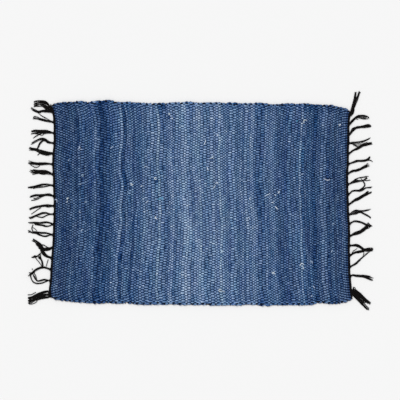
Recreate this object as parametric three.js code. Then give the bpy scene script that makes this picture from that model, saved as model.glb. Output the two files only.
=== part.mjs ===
// Flat-woven rag rug with a knotted warp fringe at both ends.
// Millimetres, +Z up. X runs along the warp, Y along the weft.
// The rug lies on the plane z = 0, and the origin is the middle of its underside.
import * as THREE from 'three';

// ---- Woven cloth ----
const PICKS = 113; // weft rows, each one a raised rib across the rug
const HALF_LENGTH = 444; // from the middle to either end of the cloth
const RIB_CREST = 7.0; // height of the top of a pick
const RIB_VALLEY = 5.8; // height of the hollow between two picks
const END_HEIGHT = 4.4; // height of the outermost pick's face
const EDGE_ROUND = 3.4; // how far in from the selvedge the top starts to fall
const EDGE_HEIGHT = 3.0; // height of the selvedge's outermost line
const EDGE_UNDERCUT = 1.2; // how far in from the selvedge the cloth meets the floor
const TURN_DIP = 0.5; // how far the selvedge draws in within one turn of the weft
const PAIR_DIP = 2.0; // how far it draws in between two turns
const LAST_LINE = 2 * PICKS; // lines across the rug: a crest on each pick, a hollow on each side
const PICK_DRIFT = 4.0; // how far a pick wanders from a straight line
const DRIFT_WAVE = 120; // how far across the rug it goes before it turns back
const DRIFT_TWIST = 5.0; // how much the wander differs from one end of the rug to the other
// Rows along a pick, 0 to 1. At the cloth's ends each of them falls between two knots.
const ROW_PLACES = [0.06, 0.19, 0.35, 0.62, 0.84, 0.945];

// The two selvedges: place along the rug, then how far out the edge lies there.
const UPPER_SELVEDGE = [
  [-450, 295], [-417, 301], [-369, 307], [-321, 304], [-273, 310], [-249, 305], [-129, 301],
  [-3, 303], [159, 299], [303, 298], [375, 295], [423, 290], [450, 275],
];
const LOWER_SELVEDGE = [
  [-450, -285], [-417, -290], [-369, -295], [-321, -298], [-177, -301], [-33, -304],
  [207, -304], [303, -304], [351, -299], [375, -301], [423, -296], [450, -283],
];
// The two ends of the cloth: place across the rug, then how far along the end lies there.
const LEFT_END = [
  [-286, -447], [-259, -450], [-235, -447], [-187, -446], [-115, -441], [-43, -438],
  [28, -438], [100, -441], [172, -438], [220, -441], [268, -438], [296, -447],
];
const RIGHT_END = [
  [-284, 450], [-259, 447], [-187, 444], [-115, 441], [-43, 438], [52, 438],
  [90, 435], [124, 438], [196, 441], [244, 441], [277, 446],
];

// ---- Fringe ----
const CLEARANCE = 0.35; // gap between the cloth's end and the heading
const HEADING_WIDTH = 4.6; // the band of gathered warp along the cloth's end
const HEADING_HEIGHT = 2.6;
const HEADING_SLOPE = 0.8; // how much lower the band's outer edge is
const KNOT_REACH = 4.2; // how far a knot stands out past the band
const KNOT_RISE = 1.4; // and above it
const KNOT_FRONT = 6.0; // width of the face that a tassel comes out of
const CORNER_KNOT_FRONT = 7.4; // a corner tassel gathers more warp ends
const KNOT_FLANK = 3.4; // how far along the band a knot takes to rise
const STRAND_WIDTH = 1.4; // a bunch of warp ends in the middle of a tassel
const STRAND_HEIGHT = 1.3;
const ROOT_THICKNESS = 0.5; // a strand's share of its full thickness where it leaves a knot
const STRANDS = 5; // in a tassel
const CORNER_STRANDS = 7;
const SHORTEST_STRAND = 0.86; // length of a tassel's shortest strand against its longest
const LENGTH_PATTERN = [0, 0.75, 0.25, 1, 0.5]; // how short each strand in turn is, 0 to 1

// How a tassel opens and its strands thicken on the way from knot to tip.
const TASSEL_STEPS = [
  // place 0 to 1, share of the full spread, share of the full thickness
  { place: 0.18, fan: 0.72, thick: 0.66 },
  { place: 0.45, fan: 0.96, thick: 1 },
  { place: 0.75, fan: 1, thick: 0.95 },
  { place: 1, fan: 1.08, thick: 0.6 },
];

// One row for each tassel: the knot's place across the rug, the points its middle
// passes on the way to the tip (x, y and, where it lies on another tassel, height),
// and its full spread. A corner tassel gathers more warp ends than the others.
const LEFT_TASSELS = [
  { knot: 285, path: [[-461, 289], [-469, 301], [-501, 303]], spread: 14, corner: true },
  { knot: 271, path: [[-471, 274], [-489, 275], [-508, 285]], spread: 9 },
  { knot: 244, path: [[-472, 248], [-507, 256]], spread: 9 },
  { knot: 211, path: [[-462, 216], [-510, 214]], spread: 10 },
  { knot: 181, path: [[-462, 189], [-492, 190], [-510, 180]], spread: 9 },
  { knot: 150, path: [[-462, 153], [-483, 156], [-516, 165]], spread: 9 },
  { knot: 118, path: [[-483, 121], [-517, 124]], spread: 9 },
  { knot: 85, path: [[-459, 97], [-489, 96], [-513, 96]], spread: 10 },
  { knot: 54, path: [[-462, 57], [-483, 52], [-517, 46]], spread: 9 },
  { knot: 21, path: [[-456, 27], [-477, 22], [-511, 19]], spread: 9 },
  { knot: -7, path: [[-459, -6], [-483, -9], [-514, -15]], spread: 9 },
  { knot: -31, path: [[-468, -30], [-489, -36], [-514, -41]], spread: 9 },
  { knot: -61, path: [[-459, -60], [-489, -61], [-520, -58]], spread: 9 },
  { knot: -93, path: [[-465, -91], [-489, -87], [-517, -85]], spread: 9 },
  { knot: -135, path: [[-465, -138], [-480, -131], [-504, -109]], spread: 9 },
  { knot: -162, path: [[-466, -153, 2.2], [-480, -137, 2.2], [-498, -116, 2.2]], spread: 9 },
  { knot: -196, path: [[-468, -190], [-486, -192], [-514, -206]], spread: 9 },
  { knot: -229, path: [[-468, -231], [-492, -233], [-509, -222]], spread: 9 },
  { knot: -268, path: [[-483, -274], [-519, -289]], spread: 15, corner: true },
];
const RIGHT_TASSELS = [
  { knot: 265, path: [[461, 271], [464, 287], [467, 307], [475, 334]], spread: 13, corner: true },
  { knot: 240, path: [[462, 255], [474, 259], [501, 255]], spread: 9 },
  { knot: 211, path: [[459, 226], [477, 229], [508, 232]], spread: 9 },
  { knot: 181, path: [[471, 183], [495, 187], [508, 195]], spread: 9 },
  { knot: 148, path: [[462, 159], [486, 172], [510, 179]], spread: 9 },
  { knot: 120, path: [[462, 126], [486, 128], [508, 136]], spread: 9 },
  { knot: 90, path: [[459, 97], [474, 102], [501, 114]], spread: 9 },
  { knot: 57, path: [[459, 70], [483, 78], [505, 81]], spread: 10 },
  { knot: 28, path: [[462, 39], [474, 41], [489, 48], [510, 49]], spread: 9 },
  { knot: 0, path: [[462, 10], [480, 19], [501, 34]], spread: 9 },
  { knot: -34, path: [[459, -25], [480, -24], [510, -18]], spread: 9 },
  { knot: -61, path: [[459, -54], [480, -55], [495, -60], [510, -64]], spread: 9 },
  { knot: -97, path: [[465, -88], [483, -80], [498, -73]], spread: 9 },
  { knot: -126, path: [[459, -126], [474, -127], [491, -131], [513, -131]], spread: 9 },
  { knot: -156, path: [[456, -149], [480, -143], [511, -142]], spread: 9 },
  { knot: -187, path: [[462, -178], [483, -164], [501, -155]], spread: 9 },
  { knot: -217, path: [[456, -213], [489, -217], [514, -228]], spread: 9 },
  { knot: -262, path: [[471, -278], [504, -313]], spread: 16, corner: true },
];

// Reads a smooth curve through a table's rows at a place in its first column.
function alongCurve(rows, at) {
  const next = rows.findIndex((row) => row[0] > at);
  const i = next === -1 ? rows.length - 2 : Math.max(next - 1, 0);
  const slopeAt = (k) => {
    const before = rows[Math.max(k - 1, 0)];
    const after = rows[Math.min(k + 1, rows.length - 1)];
    return (after[1] - before[1]) / (after[0] - before[0]);
  };
  const step = rows[i + 1][0] - rows[i][0];
  const t = THREE.MathUtils.clamp((at - rows[i][0]) / step, 0, 1);
  const rise = rows[i + 1][1] - rows[i][1];
  const ease = t * t * (3 - 2 * t);
  const leave = slopeAt(i) * step * t * (1 - t) * (1 - t);
  const arrive = slopeAt(i + 1) * step * t * t * (1 - t);
  return rows[i][1] + rise * ease + leave - arrive;
}

// The place on the rug of a pick's point: share is 0 to 1 along the rug.
function placeOnPick(share, y) {
  const left = alongCurve(LEFT_END, y);
  const right = alongCurve(RIGHT_END, y);
  const drift = PICK_DRIFT * Math.sin(Math.PI * share) * Math.sin(y / DRIFT_WAVE + DRIFT_TWIST * share);
  return THREE.MathUtils.lerp(left, right, share) + drift;
}

// The y of every row along one line of the cloth, from the lower selvedge to the upper
// one. Odd lines are crests, and at even ones the selvedge draws in between picks:
// a little within a turn of the weft, and more between two turns.
function rowsOnLine(number) {
  const x = THREE.MathUtils.lerp(-HALF_LENGTH, HALF_LENGTH, number / LAST_LINE);
  const isCrest = number % 2 === 1;
  const turnsAbove = number % 4 === 2;
  const lowerDip = isCrest ? 0 : turnsAbove ? PAIR_DIP : TURN_DIP;
  const upperDip = isCrest ? 0 : turnsAbove ? TURN_DIP : PAIR_DIP;
  const lower = alongCurve(LOWER_SELVEDGE, x) + lowerDip;
  const upper = alongCurve(UPPER_SELVEDGE, x) - upperDip;
  const inner = ROW_PLACES.map((place) => THREE.MathUtils.lerp(lower, upper, place));
  const top = [lower + EDGE_ROUND, ...inner, upper - EDGE_ROUND];
  return { lower, upper, inner, top };
}

// A closed skin that is put together point by point.
class Skin {
  positions = [];
  triangles = [];

  point(x, y, z) {
    this.positions.push(x, y, z);
    return this.positions.length / 3 - 1;
  }

  triangle(a, b, c) {
    this.triangles.push(a, b, c);
  }

  quad(a, b, c, d) {
    this.triangle(a, b, c);
    this.triangle(a, c, d);
  }

  geometry() {
    const geometry = new THREE.BufferGeometry();
    geometry.setAttribute('position', new THREE.Float32BufferAttribute(this.positions, 3));
    geometry.setIndex(this.triangles);
    geometry.computeVertexNormals();
    return geometry;
  }
}

// The woven cloth: a flat slab with the picks raised across its top, scalloped
// selvedges and a flat underside.
function clothGeometry() {
  const skin = new Skin();
  const lines = [];
  for (let i = 0; i <= LAST_LINE; i += 1) {
    const isEnd = i === 0 || i === LAST_LINE;
    const ribHeight = i % 2 === 1 ? RIB_CREST : RIB_VALLEY;
    const height = isEnd ? END_HEIGHT : ribHeight;
    const rows = rowsOnLine(i);
    const at = (y, z) => skin.point(placeOnPick(i / LAST_LINE, y), y, z);
    lines.push({
      top: rows.top.map((y) => at(y, height)),
      lowerEdge: at(rows.lower, EDGE_HEIGHT),
      upperEdge: at(rows.upper, EDGE_HEIGHT),
      lowerFoot: at(rows.lower + EDGE_UNDERCUT, 0),
      upperFoot: at(rows.upper - EDGE_UNDERCUT, 0),
      endFeet: isEnd ? rows.inner.map((y) => at(y, 0)) : [],
    });
  }
  for (let i = 0; i < LAST_LINE; i += 1) {
    const near = lines[i];
    const far = lines[i + 1];
    for (let j = 0; j + 1 < near.top.length; j += 1) {
      skin.quad(near.top[j], far.top[j], far.top[j + 1], near.top[j + 1]);
    }
    skin.quad(near.lowerEdge, far.lowerEdge, far.top[0], near.top[0]);
    skin.quad(near.lowerFoot, far.lowerFoot, far.lowerEdge, near.lowerEdge);
    skin.quad(near.top.at(-1), far.top.at(-1), far.upperEdge, near.upperEdge);
    skin.quad(near.upperEdge, far.upperEdge, far.upperFoot, near.upperFoot);
  }
  closeEnd(skin, lines[0], false);
  closeEnd(skin, lines[LAST_LINE], true);
  closeUnderside(skin, lines);
  return skin.geometry();
}

// Closes one end of the cloth with an upright wall.
function closeEnd(skin, line, facesAhead) {
  const feet = [line.lowerFoot, ...line.endFeet, line.upperFoot];
  const wall = (a, b, c) => (facesAhead ? skin.triangle(a, b, c) : skin.triangle(a, c, b));
  for (let j = 0; j + 1 < feet.length; j += 1) {
    wall(feet[j], feet[j + 1], line.top[j + 1]);
    wall(feet[j], line.top[j + 1], line.top[j]);
  }
  wall(line.lowerEdge, line.lowerFoot, line.top[0]);
  wall(line.upperFoot, line.upperEdge, line.top.at(-1));
}

// Closes the flat underside inside the line where the cloth meets the floor.
function closeUnderside(skin, lines) {
  const rim = [
    ...lines.map((line) => line.lowerFoot),
    ...lines.at(-1).endFeet,
    ...lines.map((line) => line.upperFoot).reverse(),
    ...[...lines[0].endFeet].reverse(),
  ];
  const flat = rim.map((k) => new THREE.Vector2(skin.positions[3 * k], skin.positions[3 * k + 1]));
  for (const [a, b, c] of THREE.ShapeUtils.triangulateShape(flat, [])) {
    skin.triangle(rim[a], rim[c], rim[b]);
  }
}

// The cloth's end wall, as the place along the rug of each of its rows.
function endLine(side) {
  const number = side < 0 ? 0 : LAST_LINE;
  return rowsOnLine(number).top.map((y) => ({ y, x: placeOnPick(number / LAST_LINE, y) }));
}

// How far along the rug the end wall stands at y, on the straight run between two rows.
function endWallAt(line, y) {
  const above = line.findIndex((row) => row.y > y);
  const next = above === -1 ? line.length - 1 : Math.max(above, 1);
  const before = line[next - 1];
  const after = line[next];
  return THREE.MathUtils.mapLinear(y, before.y, after.y, before.x, after.x);
}

// Where the heading's sections stand: at the bends of the cloth's end, and at each
// knot, whose front lies between two of them.
function headingSections(wall, tassels) {
  const knots = tassels.flatMap((tassel) => {
    const half = (tassel.corner ? CORNER_KNOT_FRONT : KNOT_FRONT) / 2;
    return [
      { y: tassel.knot - half - KNOT_FLANK, swell: 0 },
      { y: tassel.knot - half, swell: 1, tassel },
      { y: tassel.knot + half, swell: 1 },
      { y: tassel.knot + half + KNOT_FLANK, swell: 0 },
    ];
  });
  const bends = wall.map((row) => ({ y: row.y, swell: 0 }));
  return [...bends, ...knots].sort((a, b) => a.y - b.y);
}

// One end's fringe: the band of gathered warp along the cloth's end, with its knots
// and their strands, all flat on the floor. Side is -1 at the left end, 1 at the right.
function fringeGeometry(side, tassels) {
  const skin = new Skin();
  const wall = endLine(side);
  const sections = headingSections(wall, tassels).map((section) => {
    const inner = endWallAt(wall, section.y) + side * CLEARANCE;
    const outer = inner + side * (HEADING_WIDTH + section.swell * KNOT_REACH);
    const height = HEADING_HEIGHT + section.swell * KNOT_RISE;
    return {
      ...section,
      outer,
      innerFoot: skin.point(inner, section.y, 0),
      outerFoot: skin.point(outer, section.y, 0),
      outerTop: skin.point(outer, section.y, height - HEADING_SLOPE),
      innerTop: skin.point(inner, section.y, height),
    };
  });
  sections.slice(1).forEach((far, i) => {
    const near = sections[i];
    const roots = near.tassel ? strandRoots(skin, near, far) : [];
    addBandRun(skin, side, near, far, roots);
    roots.forEach((root, number) => addStrand(skin, side, near, root, number, roots.length));
  });
  const first = sections[0];
  const last = sections.at(-1);
  addFace(skin, side, [first.innerFoot, first.outerFoot, first.outerTop, first.innerTop]);
  addFace(skin, side, [last.innerTop, last.outerTop, last.outerFoot, last.innerFoot]);
  return skin.geometry();
}

// Adds a fan of triangles over the corners, turned so that both ends face outwards.
function addFace(skin, side, corners) {
  for (let i = 1; i + 1 < corners.length; i += 1) {
    const [b, c] = side > 0 ? [corners[i], corners[i + 1]] : [corners[i + 1], corners[i]];
    skin.triangle(corners[0], b, c);
  }
}

// The band between two sections. Its front is left open where strands grow out of it.
function addBandRun(skin, side, near, far, roots) {
  addFace(skin, side, [near.innerFoot, near.innerTop, far.innerTop, far.innerFoot]);
  addFace(skin, side, [near.innerTop, near.outerTop, far.outerTop, far.innerTop]);
  const foot = [near.outerFoot, ...roots.flatMap(({ low, high }) => [low, high]), far.outerFoot];
  addFace(skin, side, [near.innerFoot, far.innerFoot, ...foot.reverse()]);
  const front = [
    near.outerFoot,
    ...roots.flatMap(({ low, apex, high }) => [low, apex, high]),
    far.outerFoot,
    far.outerTop,
    near.outerTop,
  ];
  const flat = front.map((k) => (
    new THREE.Vector2(skin.positions[3 * k + 1], skin.positions[3 * k + 2])
  ));
  for (const corners of THREE.ShapeUtils.triangulateShape(flat, [])) {
    addFace(skin, side, corners.map((k) => front[k]));
  }
}

// The three corners of each strand's root, side by side on a knot's front.
function strandRoots(skin, near, far) {
  const count = near.tassel.corner ? CORNER_STRANDS : STRANDS;
  const half = (STRAND_WIDTH * ROOT_THICKNESS) / 2;
  const onFront = (y, z) => (
    skin.point(THREE.MathUtils.mapLinear(y, near.y, far.y, near.outer, far.outer), y, z)
  );
  return Array.from({ length: count }, (_, i) => {
    const y = THREE.MathUtils.lerp(near.y, far.y, (i + 0.5) / count);
    return {
      low: onFront(y - half, 0),
      apex: onFront(y, STRAND_HEIGHT * ROOT_THICKNESS),
      high: onFront(y + half, 0),
    };
  });
}

// One strand of a tassel: three-sided, with its flat side down, tapering to its tip.
function addStrand(skin, side, near, root, number, count) {
  const { tassel } = near;
  const points = [[near.outer, tassel.knot], ...tassel.path];
  const curve = new THREE.CatmullRomCurve3(
    points.map(([x, y, z = 0]) => new THREE.Vector3(x, y, z)),
    false,
    'centripetal',
  );
  const offset = (number / (count - 1) - 0.5) * (tassel.spread - STRAND_WIDTH);
  const shortness = LENGTH_PATTERN[(number + Math.abs(tassel.knot)) % LENGTH_PATTERN.length];
  const reach = THREE.MathUtils.lerp(1, SHORTEST_STRAND, shortness);
  let ring = [root.low, root.high, root.apex];
  for (const step of TASSEL_STEPS) {
    const place = Math.min(step.place, reach);
    const middle = curve.getPointAt(place);
    const along = curve.getTangentAt(place);
    const across = new THREE.Vector2(-along.y, along.x).normalize().multiplyScalar(side);
    const shift = offset * step.fan;
    const half = (STRAND_WIDTH * step.thick) / 2;
    const at = (sideways, up) => skin.point(
      middle.x + across.x * sideways,
      middle.y + across.y * sideways,
      middle.z + up,
    );
    const next = [at(shift - half, 0), at(shift + half, 0), at(shift, STRAND_HEIGHT * step.thick)];
    for (let j = 0; j < ring.length; j += 1) {
      const k = (j + 1) % ring.length;
      addFace(skin, side, [ring[k], next[k], next[j], ring[j]]);
    }
    ring = next;
  }
  addFace(skin, side, ring);
}

const wovenRag = new THREE.MeshStandardMaterial({ color: 0x465d7f, roughness: 0.95, metalness: 0 });
const blackWarp = new THREE.MeshStandardMaterial({ color: 0x1b1a1c, roughness: 0.9, metalness: 0 });

function namedMesh(name, geometry, material) {
  const mesh = new THREE.Mesh(geometry, material);
  mesh.name = name;
  return mesh;
}

const ragRug = new THREE.Group();
ragRug.add(namedMesh('woven_body', clothGeometry(), wovenRag));
ragRug.add(namedMesh('fringe_left', fringeGeometry(-1, LEFT_TASSELS), blackWarp.clone()));
ragRug.add(namedMesh('fringe_right', fringeGeometry(1, RIGHT_TASSELS), blackWarp.clone()));

export default ragRug;
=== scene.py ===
"""Rag rug: faded blue rag weft woven on black cotton warp, with a knotted warp fringe at each end.

Lengths are in millimetres until a mesh is made, in the frame of the part: +X along the warp,
+Y along the weft towards the upper selvedge, +Z up from the floor.
"""

import logging
import math
from collections.abc import Sequence
from dataclasses import dataclass, field
from enum import Enum

import bpy
import numpy as np
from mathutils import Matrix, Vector


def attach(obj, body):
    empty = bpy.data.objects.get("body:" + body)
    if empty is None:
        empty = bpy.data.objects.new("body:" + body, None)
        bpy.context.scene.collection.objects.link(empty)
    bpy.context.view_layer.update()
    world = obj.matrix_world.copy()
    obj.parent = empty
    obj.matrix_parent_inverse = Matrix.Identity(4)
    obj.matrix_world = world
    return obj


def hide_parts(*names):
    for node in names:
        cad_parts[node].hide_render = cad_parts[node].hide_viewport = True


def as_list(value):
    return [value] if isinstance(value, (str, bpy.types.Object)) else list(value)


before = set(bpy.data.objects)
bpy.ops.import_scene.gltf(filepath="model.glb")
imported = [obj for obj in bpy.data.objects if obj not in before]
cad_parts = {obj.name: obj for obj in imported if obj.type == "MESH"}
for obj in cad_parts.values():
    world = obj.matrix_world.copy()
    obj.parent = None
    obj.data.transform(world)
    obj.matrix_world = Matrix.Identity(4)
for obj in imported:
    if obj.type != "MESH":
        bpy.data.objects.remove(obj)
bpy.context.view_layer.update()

LOG = logging.getLogger("rag_rug")
METRES = 0.001  # in a millimetre
HEXAGON_SHOULDER = 1.22  # makes a six-sided strand fuller at its shoulders
LAY_MAP = "strand_lay"  # mm along a strand, and mm round it
BAKE_MAP = "OFBake"  # every strand as rows of one square
ROW_MARGIN = 0.03  # of a row, left free above and below its strand
COTTON_DULLNESS = {"Specular IOR Level": 0.04, "Sheen Weight": 0.02}  # napped cotton hardly glints

# The outline of the cloth, close to that of the solids: mm along and across.
UPPER_SELVEDGE = (
    (-450, 295), (-417, 301), (-369, 307), (-321, 304), (-273, 310), (-249, 305), (-129, 301),
    (-3, 303), (159, 299), (303, 298), (375, 295), (421, 288), (432, 284), (441, 280), (450, 277),
)  # fmt: skip
LOWER_SELVEDGE = (
    (-450, -285), (-417, -290), (-369, -295), (-321, -298), (-177, -301), (-33, -304),
    (207, -304), (303, -304), (351, -299), (375, -301), (423, -296), (450, -283),
)  # fmt: skip
LEFT_END = (
    (-286, -448.5), (-259, -452.5), (-235, -449.4), (-187, -446.9), (-150, -444.3), (-115, -441.3),
    (-75, -439.9), (-43, -438.6), (4, -438), (36, -439.2), (76, -440.1), (112, -442.3), (148, -441.3),
    (180, -438.2), (220, -438), (258, -439.9), (296, -447.5),
)  # fmt: skip
RIGHT_END = (
    (-284, 452), (-259, 448.3), (-247, 447.6), (-211, 444), (-175, 443.4), (-139, 442.6), (-103, 443),
    (-67, 442.6), (-43, 440.8), (-10, 439.6), (52, 437.7), (90, 437.2), (112, 439.2), (124, 439.6),
    (148, 439.4), (196, 441), (244, 442), (277, 446),
)  # fmt: skip
PICKS = 113
PICK_DRIFT = 4.0  # how far the picks wander along the rug
DRIFT_WAVE = 120
DRIFT_TWIST = 5.0
WARP_ENDS = 154
WEAVE_REACH = 444.0  # the warp is placed from minus this to this along the rug
CLOTH_LENGTH = 884  # the mean of the outline, as the width is
CLOTH_WIDTH = 601
END_YARN_ROOM = 3.0  # the woven yarn of each end takes this from the first and last pick


def linear(hex_colour: str) -> tuple[float, float, float, float]:
    """Turns an sRGB hex colour into a linear one.

    Args:
        hex_colour: Six hex digits, as in "465d7f".

    Returns:
        Red, green, blue and alpha, from 0 to 1.
    """
    parts = [int(hex_colour[i : i + 2], 16) / 255 for i in (0, 2, 4)]
    return (*[x / 12.92 if x <= 0.04045 else ((x + 0.055) / 1.055) ** 2.4 for x in parts], 1.0)


def smooth_step(low: float, high: float, values: np.ndarray) -> np.ndarray:
    """Returns 0 below low, 1 above high, and a smooth rise between them."""
    t = np.clip((values - low) / (high - low), 0, 1)
    return t * t * (3 - 2 * t)


def along_curve(rows: Sequence[tuple[float, float]], places: np.ndarray) -> np.ndarray:
    """Reads the smooth curve through a table's rows.

    Args:
        rows: Place and value, with the places in rising order.
        places: Where to read it.

    Returns:
        The curve's value at each place.
    """
    at, value = np.array(rows, float).T
    count = len(at)
    i = np.clip(np.searchsorted(at, places, side="right") - 1, 0, count - 2)
    before, after = np.maximum(np.arange(count) - 1, 0), np.minimum(np.arange(count) + 1, count - 1)
    slope = (value[after] - value[before]) / (at[after] - at[before])
    step = at[i + 1] - at[i]
    t = np.clip((places - at[i]) / step, 0, 1)
    curve = value[i] + (value[i + 1] - value[i]) * t * t * (3 - 2 * t)
    return curve + slope[i] * step * t * (1 - t) ** 2 - slope[i + 1] * step * t * t * (1 - t)


def between_ends(share: np.ndarray, y: np.ndarray) -> np.ndarray:
    """Returns the places that lie a share of the way from the cloth's left end to its right one."""
    return along_curve(LEFT_END, y) * (1 - share) + along_curve(RIGHT_END, y) * share


def place_on_pick(share: np.ndarray, y: np.ndarray) -> np.ndarray:
    """Returns how far along the rug a pick's points lie, for its share of the rug's length."""
    drift = PICK_DRIFT * np.sin(math.pi * share) * np.sin(y / DRIFT_WAVE + DRIFT_TWIST * share)
    return between_ends(share, y) + drift


def length_along(line: np.ndarray) -> np.ndarray:
    """Returns how far along a line each of its points is."""
    return np.concatenate([[0], np.cumsum(np.linalg.norm(np.diff(line, axis=0), axis=1))])


def waves(rng: np.random.Generator, lengths: Sequence[float], places: np.ndarray) -> np.ndarray:
    """Adds up sine waves with random phases.

    Args:
        rng: The source of the phases.
        lengths: The wavelengths in mm.
        places: Where to read them, in mm.

    Returns:
        A value of about -1 to 1 at each place.
    """
    total = sum(np.sin(places * (math.tau / x) + rng.uniform(0, math.tau)) for x in lengths)
    return total / math.sqrt(len(lengths))


def smooth_line(points: np.ndarray, count: int) -> np.ndarray:
    """Draws a smooth line through points, at even steps of its length.

    Args:
        points: The points that it passes, as an array of rows.
        count: How many points to return.

    Returns:
        Points on the line, from the first to the last of the given ones.
    """
    ends = np.vstack([2 * points[0] - points[1], points, 2 * points[-1] - points[-2]])
    t = np.linspace(0, 1, 13)[:-1, None]
    runs = []
    for a, b, c, d in zip(ends, ends[1:], ends[2:], ends[3:], strict=False):
        runs.append(
            0.5
            * (2 * b + (c - a) * t + (2 * a - 5 * b + 4 * c - d) * t**2 + (3 * b - a - 3 * c + d) * t**3)
        )
    line = np.vstack([*runs, points[-1:]])
    gone = length_along(line)
    wanted = np.linspace(0, gone[-1], count)
    return np.stack([np.interp(wanted, gone, x) for x in line.T], axis=1)


def deselect_all() -> None:
    """Leaves nothing selected."""
    bpy.ops.object.select_all(action="DESELECT")


def add_node(
    tree: bpy.types.NodeTree, kind: str, settings: dict | None = None, links: dict | None = None
) -> bpy.types.Node:
    """Adds a node.

    Args:
        tree: The node tree that it joins.
        kind: Blender's name of the node's kind, without its first word.
        settings: Attributes to set, or inputs where the name is of an input.
        links: What joins an input, by its name or number: a socket, or a node's first output.

    Returns:
        The new node.
    """
    node = tree.nodes.new("ShaderNode" + kind)
    for name, value in (settings or {}).items():
        if isinstance(name, int) or name in node.inputs:
            node.inputs[name].default_value = value
        else:
            setattr(node, name, value)
    for name, source in (links or {}).items():
        socket = source.outputs[0] if isinstance(source, bpy.types.Node) else source
        tree.links.new(socket, node.inputs[name])
    return node


def set_ramp(node: bpy.types.Node, stops: Sequence[tuple[float, str]]) -> None:
    """Gives a colour ramp its stops, each a place and an sRGB hex colour."""
    elements = node.color_ramp.elements
    while len(elements) < len(stops):
        elements.new(0.5)
    for element, (place, colour) in zip(elements, stops, strict=True):
        element.position = place
        element.color = linear(colour)


def new_material(name: str) -> tuple[bpy.types.Material, bpy.types.NodeTree]:
    """Makes a material with an empty tree.

    Args:
        name: The name of the real material.

    Returns:
        The material and its node tree.
    """
    material = bpy.data.materials.new(name)
    material.use_nodes = True
    material.node_tree.nodes.clear()
    return material, material.node_tree


@dataclass(frozen=True)
class RagCotton:
    """Torn strips of worn cotton twill, dyed with indigo and washed until the folds went pale.

    The eye sees matt, dusty blue lumps, each a little different, with lighter tops (partly wear and
    partly painted highlight), painted shade in the black-blue hollows, and pale fibres where a raw edge
    comes to the surface.
    """

    shades: tuple[tuple[float, str], ...] = (
        (0.0, "001136"),
        (0.2, "0c3261"),
        (0.4, "3b5a85"),
        (0.6, "6783a9"),
        (0.8, "98b0d0"),
        (1.0, "d6e4f2"),
    )
    violet: str = "8c7fb0"
    teal: str = "6fb0a8"
    crease_scale: tuple[float, float, float] = (0.16, 0.75, 1.0)  # creases 6 mm long, 1.3 mm apart
    fleck_scale: float = 0.9  # flecks of about 1 mm, drawn coarser than the 0.4 mm twill
    crease_tone: float = 0.16
    fleck_tone: float = 0.14
    roughness: float = 0.93
    bump_height: float = 0.0007

    def make(self) -> bpy.types.Material:
        """Makes the material."""
        material, tree = new_material("indigo_cotton_rag")
        lay = add_node(tree, "UVMap", {"uv_map": LAY_MAP})
        tone, hue, wash = (
            add_node(tree, "Attribute", {"attribute_name": name}).outputs["Fac"]
            for name in ("rag_tone", "rag_hue", "rag_wash")
        )
        stretched = add_node(tree, "Mapping", {"Scale": self.crease_scale}, {"Vector": lay})
        settings = {"Scale": 1.0, "Detail": 3.0, "Roughness": 0.6}
        crease = add_node(tree, "TexNoise", settings, {"Vector": stretched})
        fleck = add_node(tree, "TexNoise", {"Scale": self.fleck_scale, "Detail": 2.0}, {"Vector": lay})
        shade = tone
        for noise, reach in ((crease, self.crease_tone), (fleck, self.fleck_tone)):
            settings = {"From Min": 0.25, "From Max": 0.75, "To Min": -reach, "To Max": reach}
            change = add_node(tree, "MapRange", settings, {"Value": noise})
            shade = add_node(tree, "Math", {"operation": "ADD"}, {0: shade, 1: change})
        dyed = add_node(tree, "ValToRGB", links={"Fac": shade})
        set_ramp(dyed, self.shades)
        colour = dyed.outputs["Color"]
        for tint, way in ((self.violet, 1.0), (self.teal, -1.0)):
            settings = {"operation": "MULTIPLY", 1: way, "use_clamp": True}
            amount = add_node(tree, "Math", settings, {0: hue})
            settings = {"data_type": "RGBA", "blend_type": "SOFT_LIGHT", 7: linear(tint)}
            colour = add_node(tree, "Mix", settings, {0: amount, 6: colour}).outputs[2]
        grey = add_node(tree, "RGBToBW", links={"Color": colour})
        settings = {"data_type": "RGBA", "clamp_factor": False}
        washed = add_node(tree, "Mix", settings, {0: wash, 6: colour, 7: grey})
        settings = {"Strength": 0.7, "Distance": self.bump_height}
        bump = add_node(tree, "Bump", settings, {"Height": crease})
        settings = {"Roughness": self.roughness, "Sheen Roughness": 0.6, **COTTON_DULLNESS}
        links = {"Base Color": washed.outputs[2], "Normal": bump}
        shader = add_node(tree, "BsdfPrincipled", settings, links)
        add_node(tree, "OutputMaterial", links={"Surface": shader})
        return material


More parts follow.
